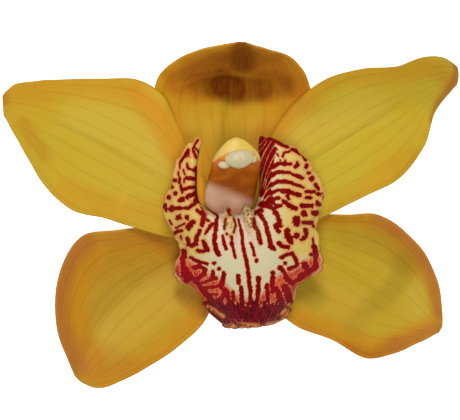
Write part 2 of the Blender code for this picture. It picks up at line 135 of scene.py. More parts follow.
# The lip: rows from its claw over the throat and the knee to its recurved tip, each from the
# left margin over the middle to the right margin
LIP = [
    [(-2.2, -4.6, 11.6), (-1.8, -4.7, 11.5), (-1.3, -4.8, 11.5), (-0.7, -4.9, 11.5), (-0.1, -4.9, 11.5),
     (0.5, -4.9, 11.5), (1.1, -4.8, 11.5), (1.7, -4.7, 11.5), (2.2, -4.5, 11.6)],
    [(-7.8, 1.0, 17.0), (-7.2, -1.8, 16.8), (-5.4, -4.6, 16.6), (-2.8, -6.2, 16.5), (-0.2, -6.6, 16.5),
     (2.4, -6.2, 16.5), (4.4, -4.6, 16.6), (5.4, -2.2, 16.8), (5.7, 0.2, 17.0)],
    [(-9.4, 9.0, 24.4), (-9.7, 4.6, 23.8), (-8.6, 0.2, 23.2), (-5.4, -3.6, 22.8), (-0.6, -5.0, 22.6),
     (3.5, -3.6, 22.8), (5.4, 0.2, 23.2), (6.4, 5.8, 23.8), (6.8, 12.2, 24.4)],
    [(-8.6, 16.4, 31.6), (-9.9, 10.5, 31.4), (-10.3, 2.9, 30.8), (-6.6, -1.2, 30.4), (-0.9, -2.4, 30.2),
     (3.6, -1.3, 30.4), (5.8, 3.6, 30.8), (6.8, 10.0, 31.2), (7.7, 15.4, 31.4)],
    [(-11.9, 13.1, 30.4), (-11.5, 7.6, 32.2), (-10.9, 2.5, 32.6), (-6.6, -2.1, 32.4), (-0.9, -3.6, 32.0),
     (3.8, -2.8, 32.3), (7.2, 2.0, 32.8), (9.8, 7.4, 32.9), (14.4, 11.8, 31.5)],
    [(-15.2, 6.8, 27.4), (-13.5, 4.0, 30.4), (-10.6, 1.0, 32.4), (-6.4, -3.5, 32.8), (-0.7, -5.2, 32.5),
     (4.6, -4.7, 32.8), (9.6, -0.6, 32.9), (14.4, 3.6, 31.4), (19.0, 5.0, 28.2)],
    [(-17.0, 2.4, 25.0), (-14.3, 0.4, 29.0), (-10.5, -2.0, 31.9), (-6.2, -5.4, 32.9), (-0.5, -7.6, 32.8),
     (5.4, -6.8, 32.9), (10.6, -4.0, 32.2), (15.8, -1.6, 29.8), (20.0, -0.6, 26.5)],
    [(-15.8, -4.1, 23.0), (-13.5, -4.3, 27.2), (-10.2, -5.8, 30.8), (-5.9, -8.0, 32.5), (-0.3, -10.4, 32.5),
     (5.8, -9.6, 32.5), (11.0, -7.6, 31.1), (15.2, -6.0, 28.4), (17.6, -6.6, 25.4)],
    [(-13.8, -8.7, 22.4), (-12.1, -9.0, 26.4), (-9.2, -10.0, 29.8), (-5.4, -11.4, 31.7), (0.0, -13.4, 31.9),
     (6.0, -13.0, 31.6), (11.4, -11.6, 29.7), (15.6, -10.6, 27.0), (18.8, -11.4, 24.3)],
    [(-16.0, -14.4, 19.6), (-12.9, -14.0, 24.0), (-9.4, -14.2, 27.8), (-5.2, -15.2, 30.1), (0.2, -17.0, 30.5),
     (6.0, -16.6, 30.1), (11.8, -15.2, 28.1), (15.6, -15.2, 25.4), (18.6, -16.0, 22.4)],
    [(-11.7, -17.4, 18.4), (-10.1, -18.0, 22.2), (-7.6, -18.8, 25.4), (-4.0, -19.6, 27.7), (0.4, -20.6, 28.3),
     (4.8, -20.6, 28.0), (9.0, -20.0, 26.2), (11.4, -19.6, 23.6), (13.2, -19.2, 20.8)],
    [(-8.3, -23.4, 16.8), (-6.7, -23.5, 19.6), (-4.8, -23.8, 22.0), (-2.3, -24.2, 23.8), (1.0, -24.4, 24.4),
     (4.4, -24.4, 24.0), (7.4, -24.3, 22.6), (9.7, -24.2, 20.6), (11.6, -24.1, 18.4)],
    [(-5.2, -27.2, 15.2), (-4.0, -27.5, 16.6), (-2.3, -27.8, 17.8), (-0.6, -28.1, 18.7), (1.3, -28.2, 19.0),
     (3.4, -28.2, 18.8), (5.5, -28.0, 17.9), (7.7, -27.7, 16.7), (9.9, -27.3, 15.4)],
    [(-3.6, -27.6, 12.6), (-2.6, -28.0, 13.2), (-1.4, -28.3, 13.7), (-0.1, -28.5, 14.0), (1.5, -28.6, 14.1),
     (3.2, -28.5, 14.0), (4.8, -28.3, 13.7), (6.4, -28.0, 13.2), (7.9, -27.6, 12.6)],
]
# How much closer a tepal's rows lie towards its tip
TIP_EASE = 1.12

# The callus keels: how far across, how wide and how far along they run, as shares of the lip
LIP_KEEL_AT = 0.12
LIP_KEEL_WIDTH = 0.055
LIP_KEEL_RUN = (0.27, 0.56)
# The divisions along and across the dense net that the lip's own is chosen from
LIP_GUIDE = (1400, 900)

# The column from its foot to its hood: spine points, its half width as a share of the greatest,
# the depth of its back and how far the section leans towards the dorsal sepal
COLUMN_WIDTH = 11.8
COLUMN = [
    ((0.0, -0.3, 11.7), 0.60, 3.6, 0.0),
    ((0.0, -0.2, 13.2), 0.61, 3.6, 6.0),
    ((-0.5, 0.4, 15.0), 0.86, 3.6, 12.0),
    ((-0.9, 1.2, 16.8), 0.96, 3.4, 16.0),
    ((-1.15, 2.8, 20.4), 1.03, 3.2, 23.0),
    ((-1.1, 5.2, 26.0), 1.03, 3.2, 25.0),
    ((-0.7, 8.0, 31.2), 0.99, 3.7, 22.0),
    ((-0.5, 10.4, 35.2), 0.94, 4.2, 8.0),
    ((-0.7, 11.8, 38.0), 0.70, 4.1, -14.0),
]
HOOD_RISE = 1.3

# The anther cap, and the small lobes at its sides: where each is and its size
CAP_SIZE = (6.6, 4.2, 3.2)
CAP_AT = Vector((-0.2, 11.0, 38.8))
CAP_LEAN = math.radians(14.0)
CAP_UNDERSIDE = -0.14
CAP_LOBES = [
    (Vector((-3.5, 10.0, 37.5)), (3.0, 2.0, 1.4)),
    (Vector((3.0, 10.6, 37.9)), (1.7, 1.7, 1.0)),
]

# The receptacle and ovary from the crown to the cut end: spine points, the radius as a share of
# the receptacle's and the section's lean
RECEPTACLE_RADIUS = 6.0
OVARY = [
    ((0.0, 0.0, 11.3), 0.69, 0.0),
    ((0.0, 0.0, 9.6), 0.71, 0.0),
    ((0.0, 0.0, 8.5), 0.86, 3.0),
    ((0.0, -0.1, 7.6), 0.98, 10.0),
    ((0.0, -0.5, 6.2), 0.84, 24.0),
    ((0.0, -2.2, 4.4), 0.56, 54.0),
    ((0.0, -6.0, 2.7), 0.44, 74.0),
    ((0.0, -12.0, 2.05), 0.41, 87.0),
    ((0.0, -19.0, 2.0), 0.39, 90.0),
    ((0.0, -26.5, 2.0), 0.40, 90.0),
]

# The eye that the face is drawn from: yaw and roll about the bloom's axis, distance in
# millimetres, and the face drawing's step and centre
EYE_YAW = math.radians(6.0)
EYE_ROLL = math.radians(5.0)
EYE_DISTANCE = 420.0
EYE_AIM = np.array([0.0, 0.0, 12.0])
DRAWING_STEP = 0.2415
DRAWING_CENTRE = np.array([232.0, 208.0])
PICTURE_SIZE = np.array([460, 420])
SENSOR_WIDTH = 36.0

# The lip's marks on the face drawing, in its steps right and down: half the stroke's width, then
# the points that it runs through; one point is a dot
LEFT_LOBE_MARKS = [
    (0.6, (198, 140), (196, 144), (193.5, 149), (194.5, 158)),
    (0.45, (195, 147), (197, 152), (197.5, 157)),
    (1.8, (189, 151), (186, 156), (182, 161)),
    (0.9, (189.5, 152), (190, 157)),
    (0.7, (180, 163), (181, 169)),
    (0.9, (179, 172), (179.5, 175)),
    (0.9, (188, 164), (189, 169), (193, 170.5)),
    (1.7, (194.5, 168), (194.5, 200)),
    (0.8, (184.5, 170), (186, 175)),
    (2.1, (175.5, 180.5)),
    (1.2, (181, 178), (181, 183)),
    (0.6, (185.5, 179), (185.5, 183)),
    (1.7, (188.5, 178.5), (193, 179)),
    (2.0, (172.3, 187.2)),
    (1.3, (182, 186), (184, 192)),
    (1.4, (184, 190), (192, 187)),
    (2.2, (177, 193.5)),
    (0.7, (166.5, 190), (166, 193)),
    (0.7, (165, 198), (164.5, 201)),
    (2.3, (170, 197.5)),
    (2.3, (181.5, 200), (184, 199)),
    (2.2, (188.5, 196.5), (191, 195)),
    (1.9, (166.5, 205), (166.3, 210)),
    (2.8, (173, 208.5)),
    (1.5, (173, 208), (190, 207.5), (196, 202.5), (201, 204.5)),
    (2.7, (180, 217)),
    (2.4, (188, 217)),
    (1.0, (170.5, 220), (173, 224)),
    (0.75, (186, 222.5), (177, 227.5)),
    (2.5, (193.5, 221.5), (189.5, 227)),
    (1.5, (198, 209.5), (204, 216)),
    (1.75, (204, 216), (202.5, 225)),
    (0.75, (205, 210), (209, 212), (214, 216)),
    (1.0, (207, 220), (209, 221)),
    (1.5, (213, 213), (217, 218), (215, 223), (210, 226), (206, 233)),
    (1.5, (183, 230), (179, 231), (173, 234)),
    (0.75, (182, 235), (183, 238)),
]
RIGHT_LOBE_MARKS = [
    (1.2, (275, 140), (278, 142)),
    (1.4, (279.5, 143), (281.5, 145)),
    (1.6, (284, 145.5), (287, 147.5)),
    (1.7, (291.5, 149.5), (298, 154)),
    (1.4, (302.5, 156), (305, 160.5)),
    (1.7, (306, 165), (305, 167.5)),
    (2.0, (308, 173)),
    (2.5, (310.5, 178.5)),
    (1.8, (314.5, 185), (317.5, 188.5)),
    (2.0, (317, 194), (319, 194)),
    (0.9, (322.5, 197.5), (322.5, 200.5)),
    (2.6, (316.5, 203.5)),
    (1.1, (282.5, 157), (284, 153), (289, 151.5)),
    (0.5, (275.5, 148), (277.5, 150)),
    (0.5, (277, 154), (278.5, 157)),
    (1.8, (273, 168), (279, 164), (290, 164.5)),
    (0.7, (280, 163), (280, 160.5)),
    (0.7, (285, 163), (285, 160.5)),
    (1.8, (294.5, 167), (297, 165.5)),
    (0.9, (296, 166), (296, 162.5)),
    (1.7, (272, 176), (277, 173), (283, 172.5), (289, 173)),
    (1.7, (291.5, 174.5), (296, 176.5), (301, 178.5)),
    (1.7, (272, 185), (278, 181.5), (285, 181.5), (291, 183)),
    (1.4, (292, 184), (297, 185.5), (301.5, 187.5)),
    (1.4, (271, 194), (278, 190)),
    (2.0, (281.5, 191), (287, 191)),
    (2.1, (289, 193), (298, 195)),
    (1.5, (304.5, 192), (312.5, 192)),
    (1.5, (304.5, 197.5), (309, 198)),
    (1.5, (270, 200.5), (278, 198)),
    (1.4, (286, 196), (288, 199)),
    (1.6, (275.5, 206.5), (280.5, 205.5)),
    (2.4, (283.5, 202), (287, 205), (294, 208)),
    (2.1, (301, 205.5), (309.5, 205.5)),
    (3.0, (303, 213.5)),
    (2.5, (312, 213), (315, 213)),
    (3.5, (295.5, 219.5), (295.5, 222.5)),
    (2.0, (300, 205), (309, 205.5)),
    (2.7, (316.5, 203.5)),
    (0.75, (322.5, 197), (322.5, 201)),
    (1.75, (302, 222), (310, 222)),
    (1.5, (312, 226)),
    (2.8, (286.5, 231), (286.5, 236), (289.5, 241)),
    (2.9, (295, 235.5)),
    (1.0, (288, 237), (295, 236)),
    (2.0, (304, 230), (304.5, 236), (300.5, 239)),
    (2.0, (278, 243), (282, 246), (287, 247)),
]
FLOOR_MARKS = [
    (2.0, (216, 224), (215.5, 232), (214.5, 240), (216, 248), (219, 254)),
    (1.4, (223, 236), (224, 242), (226, 249)),
    (0.9, (226.5, 220), (225, 229)),
    (1.2, (227.5, 233.5)),
    (0.6, (228, 211), (229.5, 217)),
    (0.6, (232, 220), (234, 226), (232, 233)),
    (0.75, (231, 236), (231.5, 239)),
    (1.25, (231.5, 242), (233, 249), (235, 257)),
    (1.6, (238, 222), (240, 228), (241.5, 236), (242, 243), (245, 255), (247, 265)),
    (1.8, (247, 265), (248.5, 278), (250, 290), (250, 302)),
    (1.25, (252.5, 220), (254, 227), (257, 232)),
    (2.0, (257, 232), (258.5, 238), (260, 243)),
    (1.25, (251, 243), (253, 249), (254, 255)),
    (1.8, (256, 260.5)),
    (2.0, (255, 215), (262, 211)),
    (2.0, (261, 216), (265, 223), (267, 232), (268.5, 238), (270, 246), (273, 248)),
    (2.0, (262, 206), (268, 206), (272, 208.5), (276, 214), (278.5, 220), (279.5, 226)),
    (2.5, (275.5, 226), (277.5, 231)),
]
FRONT_LOBE_MARKS = [
    (2.0, (189, 238), (190, 244), (193, 245), (197, 243), (198, 236), (200.5, 230)),
    (2.0, (204.5, 241), (207, 247), (209, 249)),
    (1.5, (199, 250), (204, 251), (209, 249)),
    (1.5, (192, 257), (197, 260), (208, 263)),
    (1.8, (214.5, 262.5)),
    (1.7, (219.5, 268)),
    (2.0, (195, 267), (202, 266), (206, 269), (205, 273), (196, 280)),
    (3.5, (185, 252), (184, 262), (185, 272), (188, 278)),
    (1.75, (214, 270), (213, 276)),
    (2.0, (224, 273), (222, 287)),
    (1.75, (238, 275), (238.5, 282)),
    (2.0, (241, 287), (242, 305)),
    (2.0, (258, 277), (258, 290), (256, 303)),
    (2.0, (272, 272), (271, 290)),
    (2.0, (279, 267), (283, 272), (286, 278)),
    (1.75, (280, 257), (286, 254), (291, 253), (294, 258), (296, 265), (288, 268)),
    (1.8, (284, 262.5)),
    (1.5, (303, 262), (305, 266)),
    (3.4, (303, 264), (304, 266)),
    (2.8, (299, 275), (308, 270), (314, 266)),
    (1.2, (311.5, 239), (312, 246)),
    (2.5, (312, 246), (314, 254), (314.5, 264)),
    (1.8, (309.5, 254)),
    (1.6, (203.5, 281.5), (211, 279), (217.5, 277.5)),
    (1.5, (205, 286), (216, 286), (222.5, 282.5)),
    (1.4, (208.5, 293), (217.5, 293)),
    (2.0, (214, 301), (222.5, 297.5), (226, 289)),
    (2.0, (227.5, 289), (229, 297.5)),
    (1.5, (233, 291), (234, 299)),
    (2.4, (275, 287.5), (281, 300), (279, 308)),
    (1.6, (266, 284), (267, 299)),
    (2.5, (284, 276), (291, 282)),
]
# The dark band along the front lobe's lower edge, as wide strokes
BAND_MARKS = [
    (2.2, (184.5, 266), (193, 276.5), (201, 284)),
    (2.8, (201, 284), (209, 294), (217, 305), (225, 311)),
    (6.5, (230, 309), (245, 312), (262, 312), (272, 309)),
    (3.5, (284, 286), (287.5, 297.5)),
    (2.0, (290, 282), (300, 277), (311, 270)),
]

# The orange that shows over the marks at the front lobe's lower corners
FRINGE_MARKS = [
    (1.8, (209.5, 306), (217, 310)),
    (1.5, (218, 312), (224, 314.5)),
    (3.4, (284, 318), (288, 309)),
    (1.6, (281, 312), (288, 304)),
]
# The dark fan inside the lip's right wall: how far right it reaches on the face drawing, as steps
# down and right, and the pale lines that run through it
FAN_EDGE = [(136, 272), (143, 275), (150, 276.5), (158, 275.5), (165, 273.5), (175, 272),
            (195, 272), (206, 276)]
FAN_LINES = [
    (0.64, (256.5, 153), (258.5, 148.5), (262.5, 143.5), (267, 138)),
    (0.64, (258, 161), (260.5, 152.5), (264, 147), (268, 140)),
    (0.7, (257.5, 205), (257.8, 180), (258, 168)),
    (0.64, (259, 204), (260, 188), (261, 172), (262, 165), (263.6, 158)),
    (0.78, (263.6, 158), (265.5, 152), (268, 147), (271, 142), (273, 139.5)),
    (0.45, (260.6, 200), (261.8, 185), (263.5, 168), (266.5, 156)),
    (0.64, (262.5, 190), (263.6, 177), (265, 171), (266.8, 163), (269.5, 154.5)),
    (0.64, (269.5, 154.5), (272.7, 148), (276, 144.5)),
    (0.64, (264.5, 188), (267.3, 175), (269.5, 168), (271.4, 163)),
    (0.8, (271.4, 163), (274.5, 156.5), (277.5, 151)),
    (0.64, (266, 189), (267.8, 180), (270.5, 172.5), (273.5, 169.5), (277, 169)),
    (0.64, (266.3, 194), (268.6, 186.5), (271.8, 180.5), (276, 178)),
    (0.7, (263.5, 200), (266.8, 193), (271, 188.3), (277, 186.5)),
    (0.7, (266, 201), (269, 197), (273, 195)),
]

# The tepals' soft tints: the whole tepal's share, then strokes on the face drawing, each a share,
# half a width and an edge's softness in its steps, and the points that the tint runs through
# Some tints paint light and shade: the hood tint painted shade, the pale tint painted highlights, the shade
# tint partly painted shade, and a few brown, olive and amber strokes the lip's painted shadow, shade or a
# painted glow.
TINTS = {
    "dorsal_sepal": {
        "olive": [0.22, (0.55, 6, 18, (302, 92), (286, 118), (272, 130)),
                  (0.45, 6, 16, (168, 104), (180, 132))],
        "flush": [0.55, (0.9, 6, 22, (160, 96), (172, 128), (186, 158)),
                  (0.92, 6, 24, (304, 90), (285, 112), (268, 130)),
                  (1.0, 26, 14, (190, 74), (240, 64), (290, 82))],
        "brown": [0, (0.72, 6, 13, (180, 82), (196, 70), (237, 58), (275, 66), (296, 86)),
                  # This brown stroke is painted shade round the lens in the hood's hollow.
                  (0.4, 10, 12, (200, 84), (240, 80), (270, 86))],
        # Painted shade: the hood tint darkens the hollow under the sepal's bent tip into the dark brown lens
        # of its shadow.
        "hood": [0, (0.9, 9, 14, (222, 83), (234, 88)), (0.7, 8, 12, (212, 83), (236, 90), (262, 86)),
                 (0.46, 6, 13, (200, 82), (284, 84)), (0.66, 5, 15, (243, 40), (242, 62)),
                 (0.22, 3, 9, (235, 54), (210, 61), (186, 74))],
        # Painted light: the bright orange strip beside the column stands in for light shining through the
        # sepal's base, and the thin arc over the lens is a painted highlight on the hood's fold.
        "amber_and_painted_glow": [0, (0.45, 1.0, 4, (196, 150), (199, 190), (201, 200)),
                  (0.1, 0.6, 2.5, (176, 84), (200, 76), (226, 71), (266, 77))],
        "shade": [0, (0.3, 0.7, 3.5, (225, 96), (223, 125), (221, 148))],
    },
    "petal_left": {
        "olive": [0.14],
        "flush": [0.2, (0.6, 8, 26, (12, 90), (60, 83), (105, 84), (135, 92)),
                  (0.85, 3, 20, (135, 92), (158, 118), (176, 150), (186, 168)),
                  (0.55, 4, 22, (70, 190), (100, 203), (130, 210), (160, 214)),
                  (0.8, 3, 7, (5, 92), (8, 100))],
        "brown": [0, (0.32, 2, 10, (24, 124), (36, 142), (46, 155)), (0.3, 2, 4, (4, 92), (5, 102))],
        # Painted light: the bright orange strip beside the column stands in for light shining through the
        # petal's base; the fainter strokes are the petal's own orange streaks.
        "amber_and_painted_glow": [0, (0.75, 1.5, 4, (197, 160), (199, 190), (200, 202)),
                  (0.1, 2.5, 12, (142, 95), (160, 120), (178, 152), (188, 178)),
                  (0.18, 0.8, 2.5, (126, 192), (121, 204), (117, 216))],
        "pale": [0, (0.55, 10, 20, (84, 116), (125, 128), (165, 160))],
        "shade": [0, (0.2, 0.3, 2.6, (60, 124), (100, 142), (152, 173))],
    },
    "petal_right": {
        "pale": [0, (0.6, 8, 18, (285, 150), (325, 124), (372, 108))],
        "shade": [0, (0.2, 14, 30, (310, 92), (345, 84), (400, 78), (440, 76)),
                  (0.24, 0.4, 2.4, (312, 160), (345, 138), (404, 104))],
        "flush": [0.18, (0.8, 5, 24, (268, 134), (286, 110), (302, 98)),
                  (0.6, 6, 22, (310, 86), (340, 74), (380, 70), (415, 66)),
                  (0.45, 4, 22, (340, 205), (380, 182), (410, 158)),
                  (0.7, 3, 16, (420, 66), (440, 72), (447, 82))],
        "brown": [0, (0.75, 0.8, 7, (455, 60), (457, 72), (449, 88), (438, 103), (433, 120)),
                  (0.3, 1, 8, (268, 134), (286, 108), (300, 96))],
    },
    "sepal_left": {
        # The olive stroke is painted shade on the sepal's upper half, which turns away from the light.
        "olive": [0.35, (0.8, 16, 28, (100, 300), (128, 266), (172, 255))],
        "pale": [0, (0.7, 12, 22, (170, 288), (140, 310), (112, 338))],
        # Painted shade above the sepal's crease, over a slightly duller whole.
        "shade": [0.1, (0.22, 6, 14, (168, 268), (130, 284), (98, 308), (90, 335))],
        "rose": [0, (0.8, 2, 16, (86, 240), (66, 262), (56, 292), (58, 325), (68, 352), (78, 366)),
                 (0.3, 3, 12, (95, 234), (130, 234), (160, 236))],
        "flush": [0.45, (1.0, 7, 26, (88, 250), (72, 280), (70, 310), (80, 345), (92, 366)),
                  (0.9, 5, 24, (105, 378), (145, 368), (180, 342), (203, 315)),
                  (0.8, 6, 22, (110, 240), (150, 236), (172, 245))],
        # Most brown strokes are the sepal's own red-brown; those from (150, 234) to (182, 256) and from (186,
        # 296) to (200, 308) are the lip's shadow painted on it.
        "brown": [0, (0.4, 4, 17, (86, 240), (66, 262), (56, 292), (58, 325), (68, 352)),
                  (0.48, 6, 9, (186, 296), (200, 308)),
                  (0.22, 12, 26, (100, 262), (140, 248), (180, 250)),
                  (0.45, 5, 16, (150, 234), (182, 256)), (0.4, 2, 8, (80, 362), (84, 345)),
                  (0.25, 6, 20, (92, 372), (110, 360), (130, 372))],
    },
    "sepal_right": {
        "olive": [0.35, (0.7, 10, 24, (350, 232), (385, 240), (408, 258))],
        "flush": [0.14, (0.7, 3, 16, (322, 218), (360, 216), (388, 222), (405, 236)),
                  (0.6, 2, 15, (405, 238), (425, 262), (436, 290), (438, 315)),
                  (0.95, 6, 26, (300, 326), (335, 341), (368, 356)),
                  (0.85, 4, 20, (372, 354), (402, 344), (430, 328)),
                  (0.35, 14, 26, (310, 300), (345, 322))],
        "pale": [0, (0.45, 10, 20, (325, 300), (352, 314)), (0.5, 5, 14, (418, 290), (424, 312))],
        "brown": [0, (0.3, 5, 20, (378, 224), (400, 242), (416, 262)),
                  (0.35, 2, 10, (322, 214), (360, 214)),
                  (0.65, 2, 12, (345, 350), (372, 358), (396, 346))],
        "rose": [0, (0.85, 0.5, 12, (378, 216), (410, 238), (430, 268), (439, 300), (440, 312)),
                 (0.4, 1.5, 10, (300, 330), (335, 345)),
                 (0.7, 0.5, 12, (392, 348), (420, 336), (438, 328))],
        # Painted shade: the soft band where the sepal curves away from the light, and the lip's shadow near
        # its base; the whole share is a duller colour.
        "shade": [0.08, (0.36, 3, 17, (404, 262), (399, 280), (386, 296), (368, 308)),
                  (0.24, 4, 18, (368, 308), (354, 326)), (0.35, 6, 14, (298, 284), (316, 298))],
    },
}

# Lines on the face drawing, from left to right: the lower rim of the column's hood, the slanted
# border between the red-brown and the pink of its front, which is partly the edge of the cap's
# painted shadow, where the lip's front lobe turns from cream to red, the top of the orange fringe
# along its recurved tip and that of the dark hem under it
HOOD_RIM = [(205, 168), (214, 161), (222, 156), (230, 151), (240, 150), (252, 153), (262, 163)]
PINK_BORDER = [(203, 183), (210, 185), (230, 192), (250, 200), (260, 204)]
RED_LINE = [(175, 246), (185, 252), (205, 268), (222, 276), (235, 290), (250, 298), (262, 290),
            (272, 275), (285, 268), (300, 262), (315, 250)]
FRINGE_LINE = [(218, 326), (226, 323), (240, 321), (262, 322), (274, 320), (282, 317)]
TIP_LINE = [(216, 324), (224, 326), (232, 326.6), (246, 326), (262, 324.8), (272, 322.8),
            (280, 320), (290, 320)]

# The order in which the tints lie over one another
TINT_ORDER = ("olive", "pale", "flush", "brown", "rose", "hood", "amber_and_painted_glow", "shade")

# Each tepal: its slot, its stations, then how high its margins wave in millimetres, how many waves
# they have and by what share of a wave the midrib is ahead of the first margin
TEPALS = {
    "dorsal_sepal": ("sepal", DORSAL_SEPAL, 0.25, 2.5, 0.1),
    "sepal_left": ("sepal", LEFT_SEPAL, 0.35, 2.0, 0.2),
    "sepal_right": ("sepal", RIGHT_SEPAL, 0.35, 2.0, 0.3),
    "petal_left": ("petal", LEFT_PETAL, 0.5, 3.0, 0.2),
    "petal_right": ("petal", RIGHT_PETAL, 0.5, 3.5, 0.3),
}
# The tepals' fine crimp: its height in millimetres, how many times finer than the waves and its shift
TEPAL_CRIMP = (0.16, 3.7, 0.31)
# The midrib's channel: its width as a share of half the tepal, and where it fades towards the tip
RIB_WIDTH = 0.045
RIB_FADE = (0.9, 0.55)
# How much of the paler yellow the backs have
BACK_PALENESS = 0.45
# The veins across a tepal and how far they wander
VEINS = 9
VEIN_WANDER = 0.07

# The lip's waves along and across its margin, and how high they ruffle and frill it in millimetres
LIP_WAVES = (9.0, 3.0)
LIP_RUFFLE = 0.45
LIP_FRILL = 0.26
# Where along the lip its left lobe spreads, over how much of it, and by how many millimetres
LOBE_SPREAD = (0.385, 0.045, 1.0)
# How far down the left and the right corner of the lip's tip are drawn, in millimetres
TIP_CORNERS = (0.6, 0.55)
# The dark stripes on each side of the throat, and where along the lip the throat ends
THROAT_STRIPES = 11.0
THROAT_END = (0.30, 0.24)
# Where the front lobe starts on the face drawing, in steps down
FRONT_LOBE_START = (240.0, 256.0)
# The middle of the lip on the face drawing, in steps right: between the yellow lobes, and of its pink
LIP_MIDDLE = 243.0
PINK_MIDDLE = 236.0

# The rings along and the sides round the column and the ovary, and the rings of the hood's dome
COLUMN_MESH = (96, 72)
OVARY_MESH = (110, 96)
DOME_RINGS = 10
# Where round the column its front begins, as the sine of the angle from its wings
COLUMN_FRONT = (-0.75, -0.4)
# Between which heights the ovary's crown turns pink, in millimetres
CROWN_HEIGHT = (9.2, 10.2)
# The ovary's ribs and their height as a share of its radius
OVARY_RIBS = 6
OVARY_RIB_HEIGHT = 0.03
# The cap's groove and the beak at its lower side, as shares of its size: how deep, where across it
# and how wide
CAP_GROOVE = (0.07, 0.05, 0.06)
CAP_BEAK = (0.10, 0.0, 0.25)

# The skins: how rough their clouds are, and how far light spreads inside them, as shares for red,
# green and blue and the reach in metres
NOISE_ROUGHNESS = 0.55
GLOW_RADIUS = (1.0, 0.55, 0.2)
GLOW_REACH = 0.0012
WHITE = (1.0, 1.0, 1.0)

# The floor: half its size and how far it lies under the bloom, in metres, and its grain's tone as a
# share of its own
FLOOR_SIZE = 1.5
FLOOR_DROP = 0.00002
FLOOR_GRAIN = 0.985
# The two soft lights: their size, what they are turned to and where they are, in metres, and their tones
LIGHT_SIZE = 0.14
LIGHT_AIM = Vector((0.0, 0.0, 0.02))
KEY_AT = (-0.04, 0.24, 0.64)
KEY_TONE = (1.0, 0.98, 0.95)
FILL_AT = (-0.07, -0.06, 0.68)
FILL_TONE = (1.0, 0.99, 0.97)


def smooth_rows(stations, shares):
    """Rows on a smooth curve through the stations, at shares of its length."""
    stations = np.array(stations, float)
    flat = stations.reshape(len(stations), -1)
    steps = np.linalg.norm(np.diff(flat, axis=0), axis=1)
    knots = np.concatenate([[0.0], np.cumsum(steps)])
    slopes = np.diff(flat, axis=0) / steps[:, None]
    weight = (steps[:-1] / (steps[:-1] + steps[1:]))[:, None]
    tangents = np.concatenate([slopes[:1], slopes[:-1] * (1 - weight) + slopes[1:] * weight, slopes[-1:]])
    along = knots[-1] * shares
    cell = np.clip(np.searchsorted(knots, along, side="right") - 1, 0, len(steps) - 1)
    span = steps[cell][:, None]
    s = (along - knots[cell])[:, None] / span
    rows = (
        flat[cell] * (2 * s**3 - 3 * s**2 + 1)
        + flat[cell + 1] * (3 * s**2 - 2 * s**3)
        + tangents[cell] * span * (s**3 - 2 * s**2 + s)
        + tangents[cell + 1] * span * (s**3 - s**2)
    )
    return rows.reshape((len(shares),) + stations.shape[1:])


def ease_between(values, low, high):
    """A smooth rise from 0 at low to 1 at high."""
    t = np.clip((np.asarray(values, float) - low) / (high - low), 0, 1)
    return t * t * (3 - 2 * t)


def swing(turns):
    """A wave's height after so many turns."""
    return np.sin(2 * np.pi * turns)


def hump(values, middle, width):
    """A smooth hump that is 1 high at its middle."""
    return np.exp(-(((values - middle) / width) ** 2))


def surface_normals(points):
    """The unit normals of a net of points, on the side of its face, which is up."""
    normals = np.cross(np.gradient(points, axis=1), np.gradient(points, axis=0))
    normals *= np.sign(normals[..., 2].mean())
    return normals / np.linalg.norm(normals, axis=2, keepdims=True)


def eye_frame():
    """The drawing eye's place and its right, up and forward directions, in the bloom's frame."""
    back = np.array([-math.sin(EYE_YAW), 0.0, math.cos(EYE_YAW)])
    right = np.cross(-back, (0.0, 1.0, 0.0))
    right /= np.linalg.norm(right)
    up = np.cross(right, -back)
    turned_right = math.cos(EYE_ROLL) * right - math.sin(EYE_ROLL) * up
    turned_up = math.sin(EYE_ROLL) * right + math.cos(EYE_ROLL) * up
    return EYE_AIM + EYE_DISTANCE * back, turned_right, turned_up, -back


def on_drawing(points):
    """Where points of the bloom lie on the face drawing."""
    eye, right, up, forward = eye_frame()
    rays = points - eye
    scale = EYE_DISTANCE / DRAWING_STEP / (rays @ forward)
    return np.stack([DRAWING_CENTRE[0] + rays @ right * scale, DRAWING_CENTRE[1] - rays @ up * scale], -1)


def below_line(places, line):
    """How far below a line of the face drawing each place lies, in steps."""
    return places[..., 1] - np.interp(places[..., 0], *zip(*line))


def inside_strokes(places, strokes):
    """How far inside the nearest stroke each place lies, in steps, and half that stroke's width."""
    flat = places.reshape(-1, 2)
    best = np.full(len(flat), -1e3)
    width = np.ones(len(flat))
    for half_width, *path in strokes:
        for start, end in zip(path[:-1] or path, path[1:] or path):
            start, end = np.array(start, float), np.array(end, float)
            run = end - start
            t = np.clip(((flat - start) @ run) / max(run @ run, 1e-9), 0, 1)
            inside = half_width - np.linalg.norm(flat - start - t[:, None] * run, axis=1)
            width = np.where(inside > best, half_width, width)
            best = np.maximum(best, inside)
    return best.reshape(places.shape[:-1]), width.reshape(places.shape[:-1])


def tinted(places, whole, *strokes):
    """How strongly each place is tinted: the whole tepal's share, or a soft stroke's where it is more."""
    tint = np.full(places.shape[:-1], float(whole))
    for share, half_width, softness, *path in strokes:
        inside = inside_strokes(places, [(half_width, *path)])[0]
        tint = np.maximum(tint, share * ease_between(inside, -softness, 0.0))
    return tint


def evenly_seen(places, count):
    """Which rows of a dense net lie evenly spaced on the face drawing."""
    steps = np.linalg.norm(np.diff(places, axis=0), axis=2).max(axis=1)
    reach = np.concatenate([[0.0], np.cumsum(steps)])
    chosen = np.searchsorted(reach, np.linspace(0, reach[-1], count))
    return np.minimum(chosen, len(reach) - 1)


def make_object(name, mesh_builder):
    """A smoothly shaded object of a finished mesh."""
    mesh = bpy.data.meshes.new(name)
    mesh_builder.to_mesh(mesh)
    mesh_builder.free()
    mesh.shade_smooth()
    made = bpy.data.objects.new(name, mesh)
    bpy.context.scene.collection.objects.link(made)
    return made


